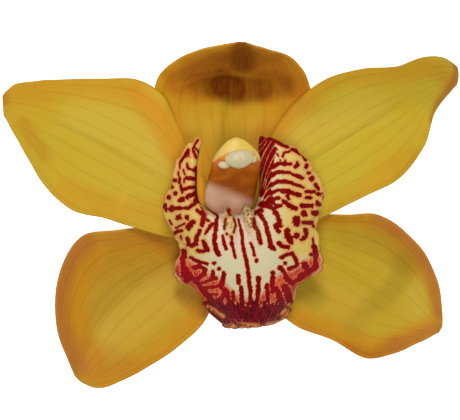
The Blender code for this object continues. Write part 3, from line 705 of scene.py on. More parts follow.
def net_object(name, points, values, looks, margin):
    """A sheet shaped to a net of points, with named values on them and a wall that thins at the margin."""
    rows, columns = points.shape[:2]
    values = {key: np.broadcast_to(value, (rows, columns)) for key, value in values.items()}
    margin = np.broadcast_to(margin, (rows, columns))
    mesh_builder = bmesh.new()
    mesh_builder.loops.layers.uv.new("along_across")
    layers = {key: mesh_builder.verts.layers.float.new(key) for key in values}
    body = mesh_builder.verts.layers.deform.verify()
    bmesh.ops.create_grid(mesh_builder, x_segments=rows - 1, y_segments=columns - 1, size=1.0, calc_uvs=True)
    placed = (points + AXIS_AT) * MM
    for vert in mesh_builder.verts:
        row = round((vert.co.x + 1) / 2 * (rows - 1))
        column = round((vert.co.y + 1) / 2 * (columns - 1))
        vert.co = placed[row, column]
        for key, layer in layers.items():
            vert[layer] = values[key][row, column]
        vert[body][0] = margin[row, column]
    mesh_builder.normal_update()
    if sum(face.normal.z * face.calc_area() for face in mesh_builder.faces) < 0:
        bmesh.ops.reverse_faces(mesh_builder, faces=mesh_builder.faces[:])
    piece = make_object(name, mesh_builder)
    piece.vertex_groups.new(name="body")
    wall = piece.modifiers.new("wall", "SOLIDIFY")
    wall.thickness = looks.thickness
    wall.offset = 0.0
    wall.vertex_group = "body"
    wall.thickness_vertex_group = looks.margin_share
    wall.material_offset = 1
    return piece


def finish_piece(piece, node, slot, *skins):
    """Skin a piece that stands for a solid, hide that solid and let the piece ride on the bloom's body."""
    for skin in skins:
        piece.data.materials.append(skin)
    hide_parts(node)
    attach(piece, "root")


class Shader:
    """Adds a material's nodes and links them; a text stands for the mesh's value of that name."""

    def __init__(self, name):
        self.material = bpy.data.materials.new(name)
        self.material.use_nodes = True
        self.tree = self.material.node_tree
        self.surface = self.tree.nodes["Principled BSDF"]

    def put(self, socket, value):
        """A socket's value, or a link to it; nothing leaves it alone."""
        if isinstance(value, str):
            value = self.add("Attribute", attribute_name=value).outputs["Fac"]
        if isinstance(value, bpy.types.NodeSocket):
            self.tree.links.new(value, socket)
        elif socket.type == "RGBA":
            socket.default_value = (*value, 1.0)
        elif value is not None:
            socket.default_value = value

    def add(self, kind, sockets=(), **settings):
        """A new node with its settings, and values or links for its sockets."""
        node = self.tree.nodes.new("ShaderNode" + kind)
        for key, setting in settings.items():
            setattr(node, key, setting)
        for key, value in dict(sockets).items():
            self.put(node.inputs[key], value)
        return node

    def place(self):
        """The piece's own coordinates, in metres."""
        return self.add("TexCoord").outputs["Object"]

    def along_across(self):
        """The piece's coordinates along it and across it, from 0 to 1."""
        return self.add("UVMap", uv_map="along_across").outputs["UV"]

    def split(self, vector):
        """A vector's three numbers."""
        return self.add("SeparateXYZ", {0: vector}).outputs

    def math(self, operation, *numbers):
        """A number from up to three numbers."""
        return self.add("Math", enumerate(numbers), operation=operation).outputs[0]

    def ease(self, value, low, high, start=0.0, end=1.0):
        """A smooth change from start at low to end at high."""
        sockets = enumerate((value, low, high, start, end))
        return self.add("MapRange", sockets, interpolation_type="SMOOTHSTEP").outputs[0]

    def mix(self, share, first, second):
        """A colour between two."""
        return self.add("Mix", {0: share, 6: first, 7: second}, data_type="RGBA").outputs[2]

    def layers(self, colour, *layers):
        """A colour under others, each with its share."""
        for share, over in layers:
            colour = self.mix(share, colour, over)
        return colour

    def noise(self, vector, scale, detail=3.0):
        """Cloudy numbers about 0.5."""
        sockets = {"Vector": vector, "Scale": scale, "Detail": detail, "Roughness": NOISE_ROUGHNESS}
        return self.add("TexNoise", sockets).outputs["Fac"]

    def sheet_noise(self, along, across, scale=1.0, detail=2.0):
        """Cloudy numbers about 0.5, drawn out along the piece or across it."""
        stretched = self.add("Mapping", {"Vector": self.along_across(), "Scale": (along, across, 1.0)})
        return self.noise(stretched.outputs[0], scale, detail)

    def bump(self, height, distance, strength=1.0, below=None):
        """A relief of the height, in metres."""
        sockets = {"Strength": strength, "Distance": distance, "Height": height, "Normal": below}
        return self.add("Bump", sockets).outputs[0]

    def finish(self, colour, normal, roughness, specular, glow=0.0):
        """The surface's colour, relief and gloss, with light that spreads a little under the skin."""
        sockets = {
            "Base Color": colour,
            "Normal": normal,
            "Roughness": roughness,
            "Specular IOR Level": specular,
            "Subsurface Weight": glow,
            "Subsurface Radius": GLOW_RADIUS,
            "Subsurface Scale": GLOW_REACH,
        }
        for key, value in sockets.items():
            self.put(self.surface.inputs[key], value)
        return self.material


def vein_pattern(shader):
    """Veins along a tepal: 1 on a main vein, and finer ones between."""
    across = shader.split(shader.along_across())[1]
    bent = shader.math("MULTIPLY_ADD", shader.sheet_noise(3.0, 5.0), VEIN_WANDER, across)
    pattern = []
    for count, width in ((VEINS, 0.55), (3 * VEINS, 0.7)):
        wave = shader.math("SINE", shader.math("MULTIPLY", bent, math.pi * count))
        pattern.append(shader.ease(shader.math("ABSOLUTE", wave), 0.0, width, 1.0, 0.0))
    return pattern


def tepal_skin(name, looks, pale_share):
    """A sepal's or petal's skin: yellow between orange margins, with faint veins along it."""
    shader = Shader(name)
    place = shader.place()
    main_vein, fine_vein = vein_pattern(shader)
    patches = shader.noise(place, 260.0)
    grain = shader.noise(place, 1100.0)
    streaks = shader.sheet_noise(3.0, 46.0, detail=4.0)
    warmth = shader.ease(shader.noise(place, 55.0, 4.0), 0.36, 0.64)
    skin = shader.mix(warmth, looks.green_yellow, looks.yellow)
    skin = shader.mix(shader.ease(streaks, 0.42, 0.72, 0.0, 0.12), skin, looks.flush)
    streaked = shader.ease(streaks, 0.2, 0.8, 0.84, 1.16)
    ripple = shader.math("ADD", streaked, shader.ease(patches, 0.2, 0.8, -0.1, 0.1))
    # The tints lay painted shade, painted highlights and a painted glow over the tepals' own colours.
    for key in TINT_ORDER:
        share = shader.math("MULTIPLY", key, ripple)
        share.node.use_clamp = True
        skin = shader.mix(share, skin, getattr(looks, key))
    veins = shader.math("MULTIPLY_ADD", main_vein, 0.085, shader.math("MULTIPLY", fine_vein, 0.022))
    skin = shader.layers(skin, (veins, looks.vein), (pale_share, looks.pale_back))
    relief = shader.math("MULTIPLY_ADD", main_vein, -0.6, shader.math("MULTIPLY", fine_vein, -0.25))
    normal = shader.bump(relief, 0.00005)
    normal = shader.bump(patches, 0.00010, 0.5, normal)
    normal = shader.bump(grain, 0.00003, 0.6, normal)
    return shader.finish(skin, normal, shader.ease(grain, 0.2, 0.8, 0.50, 0.64), specular=0.06, glow=0.12)


def lip_skin(looks):
    """The lip's face: cream and yellow, marked in dark red, red low down, with an orange rim."""
    shader = Shader("lip_face")
    place = shader.place()
    teeth = shader.noise(place, 1500.0, 2.0)
    lumps = shader.noise(place, 620.0, 2.0)
    clouds = shader.ease(shader.noise(place, 210.0), 0.45, 0.8, 0.0, 0.25)
    flames = shader.sheet_noise(24.0, 50.0)
    smoke = shader.sheet_noise(26.0, 34.0, 1.3)
    blaze = shader.mix(shader.ease(flames, 0.42, 0.60), looks.blaze, looks.flame)
    ground = shader.layers(
        looks.cream,
        ("yellow", looks.yellow),
        ("lilac", looks.lilac),
        (clouds, looks.cream),
        ("keel", looks.keel),
        ("throat", looks.throat),
        ("rim", looks.rim),
        ("blaze", blaze),
    )
    bites = shader.ease(teeth, 0.2, 0.8, -0.7, 0.7)
    wander = shader.math("ADD", bites, shader.ease(lumps, 0.2, 0.8, -0.8, 0.8))
    shadows = shader.math("MULTIPLY_ADD", "blaze", shader.ease(smoke, 0.47, 0.36, 0.0, 6.0), -5.0)
    banded = shader.math("MULTIPLY_ADD", "band", shader.ease(flames, 0.68, 0.54, 3.5, 7.0), -5.0)
    drawn = shader.math("MULTIPLY_ADD", wander, "ragged", "mark")
    mark = shader.math("MAXIMUM", drawn, shader.math("MAXIMUM", shadows, banded))
    halo = shader.ease(mark, shader.math("MULTIPLY_ADD", "yellow", -1.5, -1.7), -0.3, 0.0, 0.85)
    stain = shader.layers(
        looks.mark,
        ("blaze", looks.crimson),
        (shader.math("MULTIPLY", "band", shader.ease(smoke, 0.56, 0.44, 0.35, 1.0)), looks.band),
        (shader.ease(lumps, 0.54, 0.74, 0.0, 0.35), looks.bright_mark),
    )
    skin = shader.layers(
        ground,
        (halo, looks.blush),
        (shader.ease(mark, -0.6, -0.1), stain),
        (shader.math("MULTIPLY", "keel", shader.ease(teeth, 0.51, 0.58, 0.0, 0.9)), looks.speck),
        (shader.math("MULTIPLY", "fringe", shader.ease(lumps, 0.57, 0.47, 0.12, 0.95)), looks.rim),
        ("hem", looks.band),
    )
    relief = shader.noise(place, 1100.0)
    normal = shader.bump(relief, 0.00008, 0.7)
    return shader.finish(skin, normal, shader.ease(relief, 0.2, 0.8, 0.46, 0.62), specular=0.02, glow=0.03)


def lip_back_skin(looks):
    """The lip's underside: pale, with the marks showing through faintly."""
    shader = Shader("lip_back")
    place = shader.place()
    clouds = shader.noise(place, 120.0)
    skin = shader.layers(
        looks.cream,
        (shader.ease(clouds, 0.3, 0.7, 0.4, 1.0), looks.yellow),
        ("rim", looks.rim),
        (shader.ease("mark", -1.5, 1.5, 0.0, 0.35), looks.bright_mark),
    )
    normal = shader.bump(shader.noise(place, 900.0), 0.00008, 0.6)
    return shader.finish(skin, normal, 0.5, specular=0.22, glow=0.1)


def column_skin(looks):
    """The column: yellow hood and back, red-brown front under the cap, partly the cap's painted shadow, pale
    pink lower down.
    """
    shader = Shader("column_face")
    place = shader.place()
    clouds = shader.noise(place, 240.0)
    front = shader.mix(shader.ease(clouds, 0.35, 0.7), looks.front, looks.front_orange)
    pale = shader.ease(clouds, 0.3, 0.7, 0.0, 0.40)
    skin = shader.layers(looks.hood, (pale, looks.cream), ("brown", front), ("pink", looks.pink))
    normal = shader.bump(shader.noise(place, 1000.0), 0.00005, 0.6)
    return shader.finish(skin, normal, 0.45, specular=0.3, glow=0.12)


def cap_skin(looks):
    """The anther cap: waxy ivory."""
    shader = Shader("cap_wax")
    clouds = shader.noise(shader.place(), 420.0)
    skin = shader.mix(shader.ease(clouds, 0.35, 0.75, 0.0, 0.5), looks.cap, looks.cream)
    return shader.finish(skin, shader.bump(clouds, 0.00005, 0.5), 0.42, specular=0.3, glow=0.2)


def ovary_skin(looks):
    """The ovary: green with tiny flecks, cream where it shows inside the flower, pale at its cut."""
    shader = Shader("ovary_green")
    place = shader.place()
    skin = shader.layers(
        looks.stalk,
        (shader.ease(shader.noise(place, 90.0, 4.0), 0.3, 0.7), looks.stalk_pale),
        (shader.ease(shader.noise(place, 1500.0, 2.0), 0.62, 0.72, 0.0, 0.4), looks.stalk_pale),
        ("crown", looks.pink),
        ("cut", looks.stalk_cut),
    )
    normal = shader.bump(shader.noise(place, 800.0), 0.00006, 0.6)
    return shader.finish(skin, normal, 0.48, specular=0.3, glow=0.1)


def floor_skin(looks):
    """The plain pale floor, lit a little from within like a light table."""
    shader = Shader("pale_floor")
    grain = shader.ease(shader.noise(shader.place(), 300.0, 2.0), 0.3, 0.7)
    shade = shader.mix(grain, looks.floor, tuple(FLOOR_GRAIN * part for part in looks.floor))
    shader.put(shader.surface.inputs["Emission Color"], WHITE)
    shader.put(shader.surface.inputs["Emission Strength"], looks.floor_glow)
    return shader.finish(shade, None, 0.9, specular=0.1)


def tone(name, description, *colour):
    """A colour of the looks, as linear red, green and blue."""
    return FloatVectorProperty(name=name, description=description, default=colour, subtype="COLOR")


def measure(name, description, metres):
    """A length of the looks, in metres."""
    return FloatProperty(name=name, description=description, default=metres, unit="LENGTH")


def thinning(share):
    """How thick a piece's margin is, as a share of its middle."""
    description = "The margin's thickness as a share"
    return FloatProperty(name="Margin share", description=description, default=share, subtype="FACTOR")


def divisions(name, description, count, least=20):
    """How many divisions a net has."""
    return IntProperty(name=name, description=description, default=count, min=least)


class TepalLooks(PropertyGroup):
    """Sizes and colours of the sepals and petals."""

    rows: divisions("Rows", "Divisions along a tepal", 150)
    columns: divisions("Columns", "Divisions across a tepal", 64, 10)
    thickness: measure("Thickness", "A tepal's thickness", 0.0010)
    margin_share: thinning(0.45)
    rib_depth: measure("Rib depth", "How deep the midrib's channel is", 0.00035)
    green_yellow: tone("Green yellow", "The cooler yellow", 0.395, 0.32, 0.024)
    yellow: tone("Yellow", "The warmer yellow", 0.42, 0.295, 0.018)
    flush: tone("Flush", "The orange of margins and bases", 0.41, 0.18, 0.007)
    vein: tone("Vein", "The veins' colour", 0.11, 0.05, 0.002)
    # Partly the tepals' own orange and partly painted light: a glow through their bases beside the column,
    # and a painted highlight.
    amber_and_painted_glow: tone("Amber", "The bright orange beside the column", 0.70, 0.30, 0.014)
    olive: tone("Olive", "The duller middle of a tepal", 0.30, 0.20, 0.013)
    # Painted highlight: the paler gold stands in for light on the tepals' lit slopes.
    pale: tone("Pale", "The pale gold of lit places", 0.43, 0.325, 0.042)
    rose: tone("Rose", "The dull rose of the sepals' rims", 0.34, 0.115, 0.022)
    # Mostly the tepals' own red-brown; a few strokes use it for painted shade in the dorsal sepal's hood and
    # the lip's painted shadow on the left sepal.
    brown: tone("Brown", "The red-brown of tips and margins", 0.31, 0.088, 0.006)
    # Painted shade: the dark brown of the shadow inside the dorsal sepal's hood.
    hood: tone("Hood", "The brown inside the hood", 0.105, 0.016, 0.0002)
    # Partly painted shade and partly duller colour: on the sepals it paints the shade of creases and bands
    # and the lip's shadow; on the midribs and the right petal's upper band it is their duller colour.
    shade: tone("Shade", "The dull bands and midribs", 0.16, 0.12, 0.006)
    pale_back: tone("Pale back", "The backs' paler yellow", 0.52, 0.46, 0.12)


class LipLooks(PropertyGroup):
    """Sizes and colours of the lip."""

    rows: divisions("Rows", "Divisions along the lip", 270)
    columns: divisions("Columns", "Divisions across the lip", 170)
    thickness: measure("Thickness", "The lip's thickness", 0.0010)
    margin_share: thinning(0.5)
    keel_height: measure("Keel height", "Height of the callus keels", 0.0022)
    cream: tone("Cream", "The floor's cream", 0.425, 0.385, 0.24)
    yellow: tone("Yellow", "The side lobes' yellow", 0.465, 0.35, 0.085)
    blush: tone("Blush", "The peach glow round the marks", 0.49, 0.165, 0.055)
    rim: tone("Rim", "The margin's orange", 0.49, 0.175, 0.042)
    mark: tone("Mark", "The marks' red", 0.135, 0.0012, 0.0008)
    band: tone("Band", "The front lobe's maroon", 0.055, 0.0005, 0.0035)
    speck: tone("Speck", "The keels' brown specks", 0.13, 0.055, 0.008)
    blaze: tone("Blaze", "The front lobe's crimson", 0.33, 0.012, 0.012)
    flame: tone("Flame", "The front lobe's orange streaks", 0.50, 0.10, 0.036)
    crimson: tone("Crimson", "The marks low on the front lobe", 0.21, 0.002, 0.006)
    lilac: tone("Lilac", "The middle floor's pink tinge", 0.49, 0.385, 0.30)
    throat: tone("Throat", "The throat's pale pink", 0.78, 0.50, 0.38)
    keel: tone("Keel", "The keels' straw yellow", 0.45, 0.30, 0.10)
    bright_mark: tone("Bright mark", "The brighter red streaks", 0.26, 0.004, 0.006)


class ColumnLooks(PropertyGroup):
    """Colours of the column, its cap and the ovary."""

    hood: tone("Hood", "The hood's yellow", 0.50, 0.34, 0.036)
    # Partly the front's own red-brown and partly the cap's shadow painted on it.
    front: tone("Front", "The front's red-brown", 0.40, 0.085, 0.002)
    front_orange: tone("Orange front", "The front's lighter clouds", 0.55, 0.17, 0.005)
    pink: tone("Pink", "The lower front's pink", 0.90, 0.66, 0.47)
    cream: tone("Cream", "The hood's pale lobes", 0.46, 0.36, 0.15)
    cap: tone("Cap", "The anther cap's white", 0.385, 0.33, 0.195)
    stalk: tone("Stalk", "The ovary's green", 0.20, 0.27, 0.045)
    stalk_pale: tone("Pale stalk", "The ovary's paler green", 0.42, 0.46, 0.12)
    stalk_cut: tone("Cut", "The cut end's colour", 0.55, 0.60, 0.30)


class StageLooks(PropertyGroup):
    """The floor, the light and the sky."""

    floor: tone("Floor", "The floor's colour", 0.90, 0.90, 0.90)
    floor_glow: FloatProperty(name="Floor glow", description="The floor's own light", default=0.64)
    key_power: FloatProperty(name="Key", description="The key light's power", default=2.7, unit="POWER")
    fill_power: FloatProperty(name="Fill", description="The fill light's power", default=2.85, unit="POWER")
    sky: FloatProperty(name="Sky", description="The sky's strength", default=0.33)


def tepal_net(stations, looks, wave, waves, phase):
    """A tepal's fine net of points: curved across, waved at the margins, channelled at the midrib."""
    even = np.linspace(0, 1, looks.rows + 1)
    rails = smooth_rows(stations, 1 - (1 - even) ** TIP_EASE)
    first, rib, second = (rails[:, i, None, :] for i in range(3))
    v = np.linspace(-1, 1, looks.columns + 1)[None, :, None]
    points = rib + v * (second - first) / 2 + v**2 * ((first + second) / 2 - rib)
    u = even[:, None]
    side = v[:, :, 0]
    fade = np.sin(np.pi * u) ** 0.5
    points[:, :, 2] += wave * fade * np.abs(side) ** 3 * swing(waves * u + phase * (1 + side))
    height, times, shift = TEPAL_CRIMP
    crimp = swing(waves * times * u + phase + shift * np.sign(side))
    points[:, :, 2] += height * fade * np.abs(side) ** 8 * crimp
    channel = looks.rib_depth / MM * hump(side, 0.0, RIB_WIDTH) * ease_between(u, *RIB_FADE)
    points -= surface_normals(points) * channel[:, :, None]
    return points, u, side


def make_tepal(node, slot, stations, skins, looks, *waving):
    """One sepal or petal, tinted at its base, its margins and where its tints say."""
    points, u, side = tepal_net(stations, looks, *waving)
    places = on_drawing(points)
    values = {key: tinted(places, *TINTS[node].get(key, (0.0,))) for key in TINT_ORDER}
    plain = 0.75 * ease_between(u, 0.30, 0.05) + 0.25 * np.abs(side) ** 6 + 0.2 * ease_between(u, 0.92, 1.0)
    values["flush"] = values["flush"] + plain * (1 - values["flush"])
    # The hood's painted shade fades out towards the margins.
    values["hood"] = values["hood"] * (1 - 0.7 * ease_between(np.abs(side), 0.80, 0.98))
    margin = (1 - np.abs(side) ** 6) * ease_between(u, 1.0, 0.93)
    piece = net_object(node + "_skin", points, values, looks, margin)
    finish_piece(piece, node, slot, *skins)


class BLOOM_OT_tepals(Operator):
    """Make the three sepals and the two petals"""

    bl_idname = "bloom.tepals"
    bl_label = "Sepals and petals"

    def execute(self, context):
        """Make each tepal from its stations."""
        looks = context.scene.tepal_looks
        skins = (tepal_skin("tepal_face", looks, 0.0), tepal_skin("tepal_back", looks, BACK_PALENESS))
        for node, (slot, stations, *waving) in TEPALS.items():
            make_tepal(node, slot, stations, skins, looks, *waving)
        return {"FINISHED"}


def lip_net(looks):
    """The lip's fine net of points, even as the face is seen, with its keels and frilled margins."""
    along = smooth_rows(LIP, np.linspace(0, 1, LIP_GUIDE[0] + 1))
    dense = smooth_rows(along.transpose(1, 0, 2), np.linspace(0, 1, LIP_GUIDE[1] + 1)).transpose(1, 0, 2)
    places = on_drawing(dense)
    chosen_rows = evenly_seen(places, looks.rows + 1)
    chosen_columns = evenly_seen(places.transpose(1, 0, 2), looks.columns + 1)
    points = dense[chosen_rows][:, chosen_columns]
    u = (chosen_rows / LIP_GUIDE[0])[:, None]
    v = (2 * chosen_columns / LIP_GUIDE[1] - 1)[None, :]
    half = np.where(v < 0, -1.0, 1.0)
    outward = np.gradient(points, axis=1) * half[:, :, None]
    outward /= np.linalg.norm(outward, axis=2, keepdims=True)
    keel_run = np.clip((u - LIP_KEEL_RUN[0]) / (LIP_KEEL_RUN[1] - LIP_KEEL_RUN[0]), 0, 1)
    keel = looks.keel_height / MM * np.sin(np.pi * keel_run**0.45) ** 0.8 * lip_keels(v)
    edge = np.maximum(np.abs(v) ** 9 * ease_between(u, 0.22, 0.4), ease_between(u, 0.93, 1.0) * 0.6)
    run = u * LIP_WAVES[0] * half + v * LIP_WAVES[1]
    ruffle = LIP_RUFFLE * edge * (swing(run) + 0.5 * swing(1.9 * run + 0.3))
    frill = LIP_FRILL * edge * (swing(3.1 * run + 0.2) + 0.6 * swing(5.3 * run))
    spread_at, spread_width, spread = LOBE_SPREAD
    frill = frill + spread * (v < 0) * np.abs(v) ** 6 * hump(u, spread_at, spread_width)
    points = points + surface_normals(points) * (keel + ruffle)[:, :, None] + outward * frill[:, :, None]
    corners = TIP_CORNERS[0] * ease_between(v, -0.2, -0.8) + TIP_CORNERS[1] * ease_between(v, 0.2, 0.8)
    points[..., 1] -= corners * ease_between(u, 0.94, 1.0)
    return points, u, v


def lip_keels(v):
    """The two keels across the lip."""
    return hump(np.abs(v), LIP_KEEL_AT, LIP_KEEL_WIDTH)


def margin_gap(points):
    """How far each point of a net lies from its margins and its end, along the surface, in millimetres."""
    across = np.linalg.norm(np.diff(points, axis=1), axis=2).cumsum(axis=1)
    across = np.concatenate([np.zeros((len(points), 1)), across], axis=1)
    along = np.linalg.norm(np.diff(points, axis=0), axis=2)[::-1].cumsum(axis=0)[::-1]
    along = np.concatenate([along, np.zeros((1, points.shape[1]))])
    return np.minimum(np.minimum(across, across[:, -1:] - across), along)


def lip_marks(places, u, v):
    """How far inside a mark each point of the lip lies, in steps, and how ragged the mark's edge is."""
    right, down = places[..., 0], places[..., 1]
    marks = LEFT_LOBE_MARKS + RIGHT_LOBE_MARKS + FLOOR_MARKS + FRONT_LOBE_MARKS + BAND_MARKS
    drawn, width = inside_strokes(places, marks)
    stripes = 1.6 - 3.2 * np.abs(np.sin(np.pi * (v * THROAT_STRIPES + 0.15 * np.sin(9.0 * u))))
    hidden = ease_between(below_line(places, PINK_BORDER), -4.0, 8.0) * ease_between(right, 262.0, 256.0)
    plain = np.maximum(ease_between(u, 0.20, 0.10), hidden)
    in_throat = ease_between(u, *THROAT_END)
    mark = drawn * (1 - in_throat) + (stripes * (1 - plain) - 3.0 * plain) * in_throat
    fan = ease_between(right - np.interp(down, *zip(*FAN_EDGE)), 0.8, -0.8)
    fan = fan * ease_between(down, 206.0, 203.0) * ease_between(v, 0.3, 0.45)
    mark = mark + fan * (np.minimum(-inside_strokes(places, FAN_LINES)[0], 1.5) - mark)
    return mark, np.clip(width / 2.2, 0.25, 1.3) * (1 - 0.75 * fan)


def lip_tints(places, gap, u, v):
    """How strongly each point of the lip takes its tints."""
    right, down = places[..., 0], places[..., 1]
    front = ease_between(down, *FRONT_LOBE_START)
    rim_width = 0.55 + 0.45 * ease_between(down, 292.0, 276.0)
    fringe = np.maximum(
        ease_between(inside_strokes(places, FRINGE_MARKS)[0], -1.5, 0.5),
        ease_between(below_line(places, FRINGE_LINE), -1.5, 1.5),
    )
    fringe = np.maximum(fringe, 0.9 * ease_between(gap / rim_width, 1.0, 0.45))
    hem = np.maximum(ease_between(gap, 0.22, 0.05), ease_between(below_line(places, TIP_LINE), -0.4, 0.6))
    wavy_down = down + 2.5 * np.sin(0.55 * right) + 1.5 * np.sin(1.3 * right)
    inner = 1 - 0.75 * ease_between(gap, 1.7, 0.7)
    return {
        "yellow": ease_between(np.abs(right - LIP_MIDDLE), 26.0, 50.0) * ease_between(down, 268.0, 250.0),
        "lilac": ease_between(down, 262.0, 236.0) * ease_between(np.abs(right - PINK_MIDDLE), 34.0, 16.0),
        "rim": (0.45 + 0.40 * front) * ease_between(gap, 1.2, 0.4),
        "band": ease_between(wavy_down, 290.0, 306.0),
        "blaze": ease_between(below_line(places, RED_LINE), -3.0, 8.0) * inner,
        "throat": ease_between(u, 0.34, 0.26) * ease_between(below_line(places, PINK_BORDER), -6.0, 6.0),
        "keel": 0.9 * lip_keels(v) * ease_between(u, 0.24, 0.28) * ease_between(u, 0.56, 0.42),
        "fringe": fringe * front,
        "hem": 0.80 * hem * front,
    }


class BLOOM_OT_lip(Operator):
    """Make the three-lobed lip with its keels and marks"""

    bl_idname = "bloom.lip"
    bl_label = "Lip"

    def execute(self, context):
        """Shape the lip's net and lay its marks and tints on it."""
        looks = context.scene.lip_looks
        points, u, v = lip_net(looks)
        places = on_drawing(points)
        mark, ragged = lip_marks(places, u, v)
        values = {"mark": mark, "ragged": ragged, **lip_tints(places, margin_gap(points), u, v)}
        margin = (1 - np.abs(v) ** 10) * ease_between(u, 1.0, 0.95)
        piece = net_object("lip_skin", points, values, looks, margin)
        finish_piece(piece, "lip", "lip", lip_skin(looks), lip_back_skin(looks))
        return {"FINISHED"}


def ring_body(name, stations, section, rings, sides, end_profile, values):
    """A closed body laid along a spine: a sphere's rings become sections that lean about X."""
    mesh_builder = bmesh.new()
    layers = {key: mesh_builder.verts.layers.float.new(key) for key in values}
    bmesh.ops.create_uvsphere(mesh_builder, u_segments=sides, v_segments=rings, radius=1.0)
    end_rings = len(end_profile)
    rows = smooth_rows(stations, np.linspace(0, 1, rings - 2 * end_rings + 1))
    for vert in mesh_builder.verts:
        ring = round(math.acos(max(-1.0, min(1.0, vert.co.z))) / math.pi * rings)
        row = rows[min(max(ring - end_rings, 0), len(rows) - 1)]
        gap = min(ring, rings - ring)
        scale, rise = end_profile[gap] if gap < end_rings else (1.0, 0.0)
        if ring <= rings / 2:
            rise = 0.0
        angle = math.atan2(vert.co.y, vert.co.x)
        across, front = section(angle, row[3:-1])
        lean = math.radians(row[-1])
        front_axis = np.array([0.0, -math.cos(lean), math.sin(lean)])
        spine_axis = np.array([0.0, math.sin(lean), math.cos(lean)])
        point = row[:3] + (across * scale, 0.0, 0.0) + front_axis * front * scale + spine_axis * rise
        fraction = np.clip((ring - end_rings) / (rings - 2 * end_rings), 0, 1)
        for key, layer in layers.items():
            vert[layer] = float(values[key](fraction, math.sin(angle), scale, point))
        vert.co = (point + AXIS_AT) * MM
    if mesh_builder.calc_volume(signed=True) < 0:
        bmesh.ops.reverse_faces(mesh_builder, faces=mesh_builder.faces[:])
    return make_object(name, mesh_builder)


def column_section(angle, size):
    """The column across: a round back, wings at its sides and a shallow groove down its front."""
    half_width, back_depth = size
    across = half_width * math.cos(angle)
    front = math.sin(angle)
    if front < 0:
        return across * (1 - 0.30 * front**2), back_depth * front
    return across, back_depth * (0.50 * front - 0.30 * front**6)


def ovary_section(angle, size):
    """The ovary across: low ribs round it."""
    radius = size[0] * (1 + OVARY_RIB_HEIGHT * math.cos(OVARY_RIBS * angle))
    return radius * math.cos(angle), radius * math.sin(angle)


class BLOOM_OT_column(Operator):
    """Make the column under its hood"""

    bl_idname = "bloom.column"
    bl_label = "Column"

    def execute(self, context):
        """Lay the column's sections along its spine."""
        stations = [(*point, share * COLUMN_WIDTH / 2, back, lean) for point, share, back, lean in COLUMN]
        turns = [i / DOME_RINGS * math.pi / 2 for i in range(DOME_RINGS)]
        dome = [(math.sin(turn), HOOD_RISE * math.cos(turn)) for turn in turns]

        def brown(fraction, front, scale, point):
            """Under the hood's rim, on the front, where its red-brown is partly the cap's painted shadow."""
            under = ease_between(below_line(on_drawing(point), HOOD_RIM), -1.0, 1.0)
            return under * ease_between(front, *COLUMN_FRONT)

        def pink(fraction, front, scale, point):
            """Below the slanted border, on the front, and all round the foot."""
            lower = ease_between(below_line(on_drawing(point), PINK_BORDER), -6.0, 7.0)
            return max(lower * ease_between(front, *COLUMN_FRONT), ease_between(fraction, 0.12, 0.0))

        values = {"brown": brown, "pink": pink}
        piece = ring_body("column_skin", stations, column_section, *COLUMN_MESH, dome, values)
        finish_piece(piece, "column", "column", column_skin(context.scene.column_looks))
        return {"FINISHED"}


class BLOOM_OT_cap(Operator):
    """Make the anther cap"""

    bl_idname = "bloom.cap"
    bl_label = "Anther cap"

    def execute(self, context):
        """Shape the cap as a smooth dome with a shallow groove, between two small lobes."""
        mesh_builder = bmesh.new()
        bmesh.ops.create_uvsphere(mesh_builder, u_segments=64, v_segments=40, radius=0.5)
        for vert in mesh_builder.verts:
            x, y, z = vert.co
            groove = CAP_GROOVE[0] * hump(x, *CAP_GROOVE[1:]) * max(z, 0.0)
            beak = CAP_BEAK[0] * hump(x, *CAP_BEAK[1:]) * max(-y, 0.0)
            top = max(z - groove, CAP_UNDERSIDE)
            vert.co = (x * CAP_SIZE[0], (y - beak) * CAP_SIZE[1], top * CAP_SIZE[2])
        lean = Matrix.Rotation(CAP_LEAN, 4, "X")
        bmesh.ops.transform(mesh_builder, matrix=lean, verts=mesh_builder.verts[:])
        bmesh.ops.translate(mesh_builder, vec=CAP_AT, verts=mesh_builder.verts[:])
        for at, size in CAP_LOBES:
            place = Matrix.Translation(at) @ Matrix.Diagonal((*size, 1.0))
            bmesh.ops.create_uvsphere(mesh_builder, u_segments=32, v_segments=20, radius=0.5, matrix=place)
        bmesh.ops.translate(mesh_builder, vec=Vector(AXIS_AT), verts=mesh_builder.verts[:])
        bmesh.ops.scale(mesh_builder, vec=(MM, MM, MM), verts=mesh_builder.verts[:])
        piece = make_object("anther_cap_skin", mesh_builder)
        finish_piece(piece, "anther_cap", "anther_cap", cap_skin(context.scene.column_looks))
        return {"FINISHED"}


class BLOOM_OT_ovary(Operator):
    """Make the receptacle and the ribbed ovary"""

    bl_idname = "bloom.ovary"
    bl_label = "Ovary"

    def execute(self, context):
        """Lay the ovary's sections along its spine and press it flat where it rests."""
        stations = [(*point, share * RECEPTACLE_RADIUS, lean) for point, share, lean in OVARY]
        flat_end = [(share, 0.0) for share in (0.0, 0.35, 0.7, 0.9)]

        def cut(fraction, front, scale, point):
            """On the flat end of the stalk."""
            return fraction >= 1.0 and scale < 0.95

        def crown(fraction, front, scale, point):
            """Above the tepals' bases."""
            return ease_between(point[2], *CROWN_HEIGHT)

        values = {"cut": cut, "crown": crown}
        piece = ring_body("ovary_skin", stations, ovary_section, *OVARY_MESH, flat_end, values)
        for vert in piece.data.vertices:
            vert.co.z = max(vert.co.z, CAD_BOX[0].z)
        finish_piece(piece, "ovary", "ovary", ovary_skin(context.scene.column_looks))
        return {"FINISHED"}


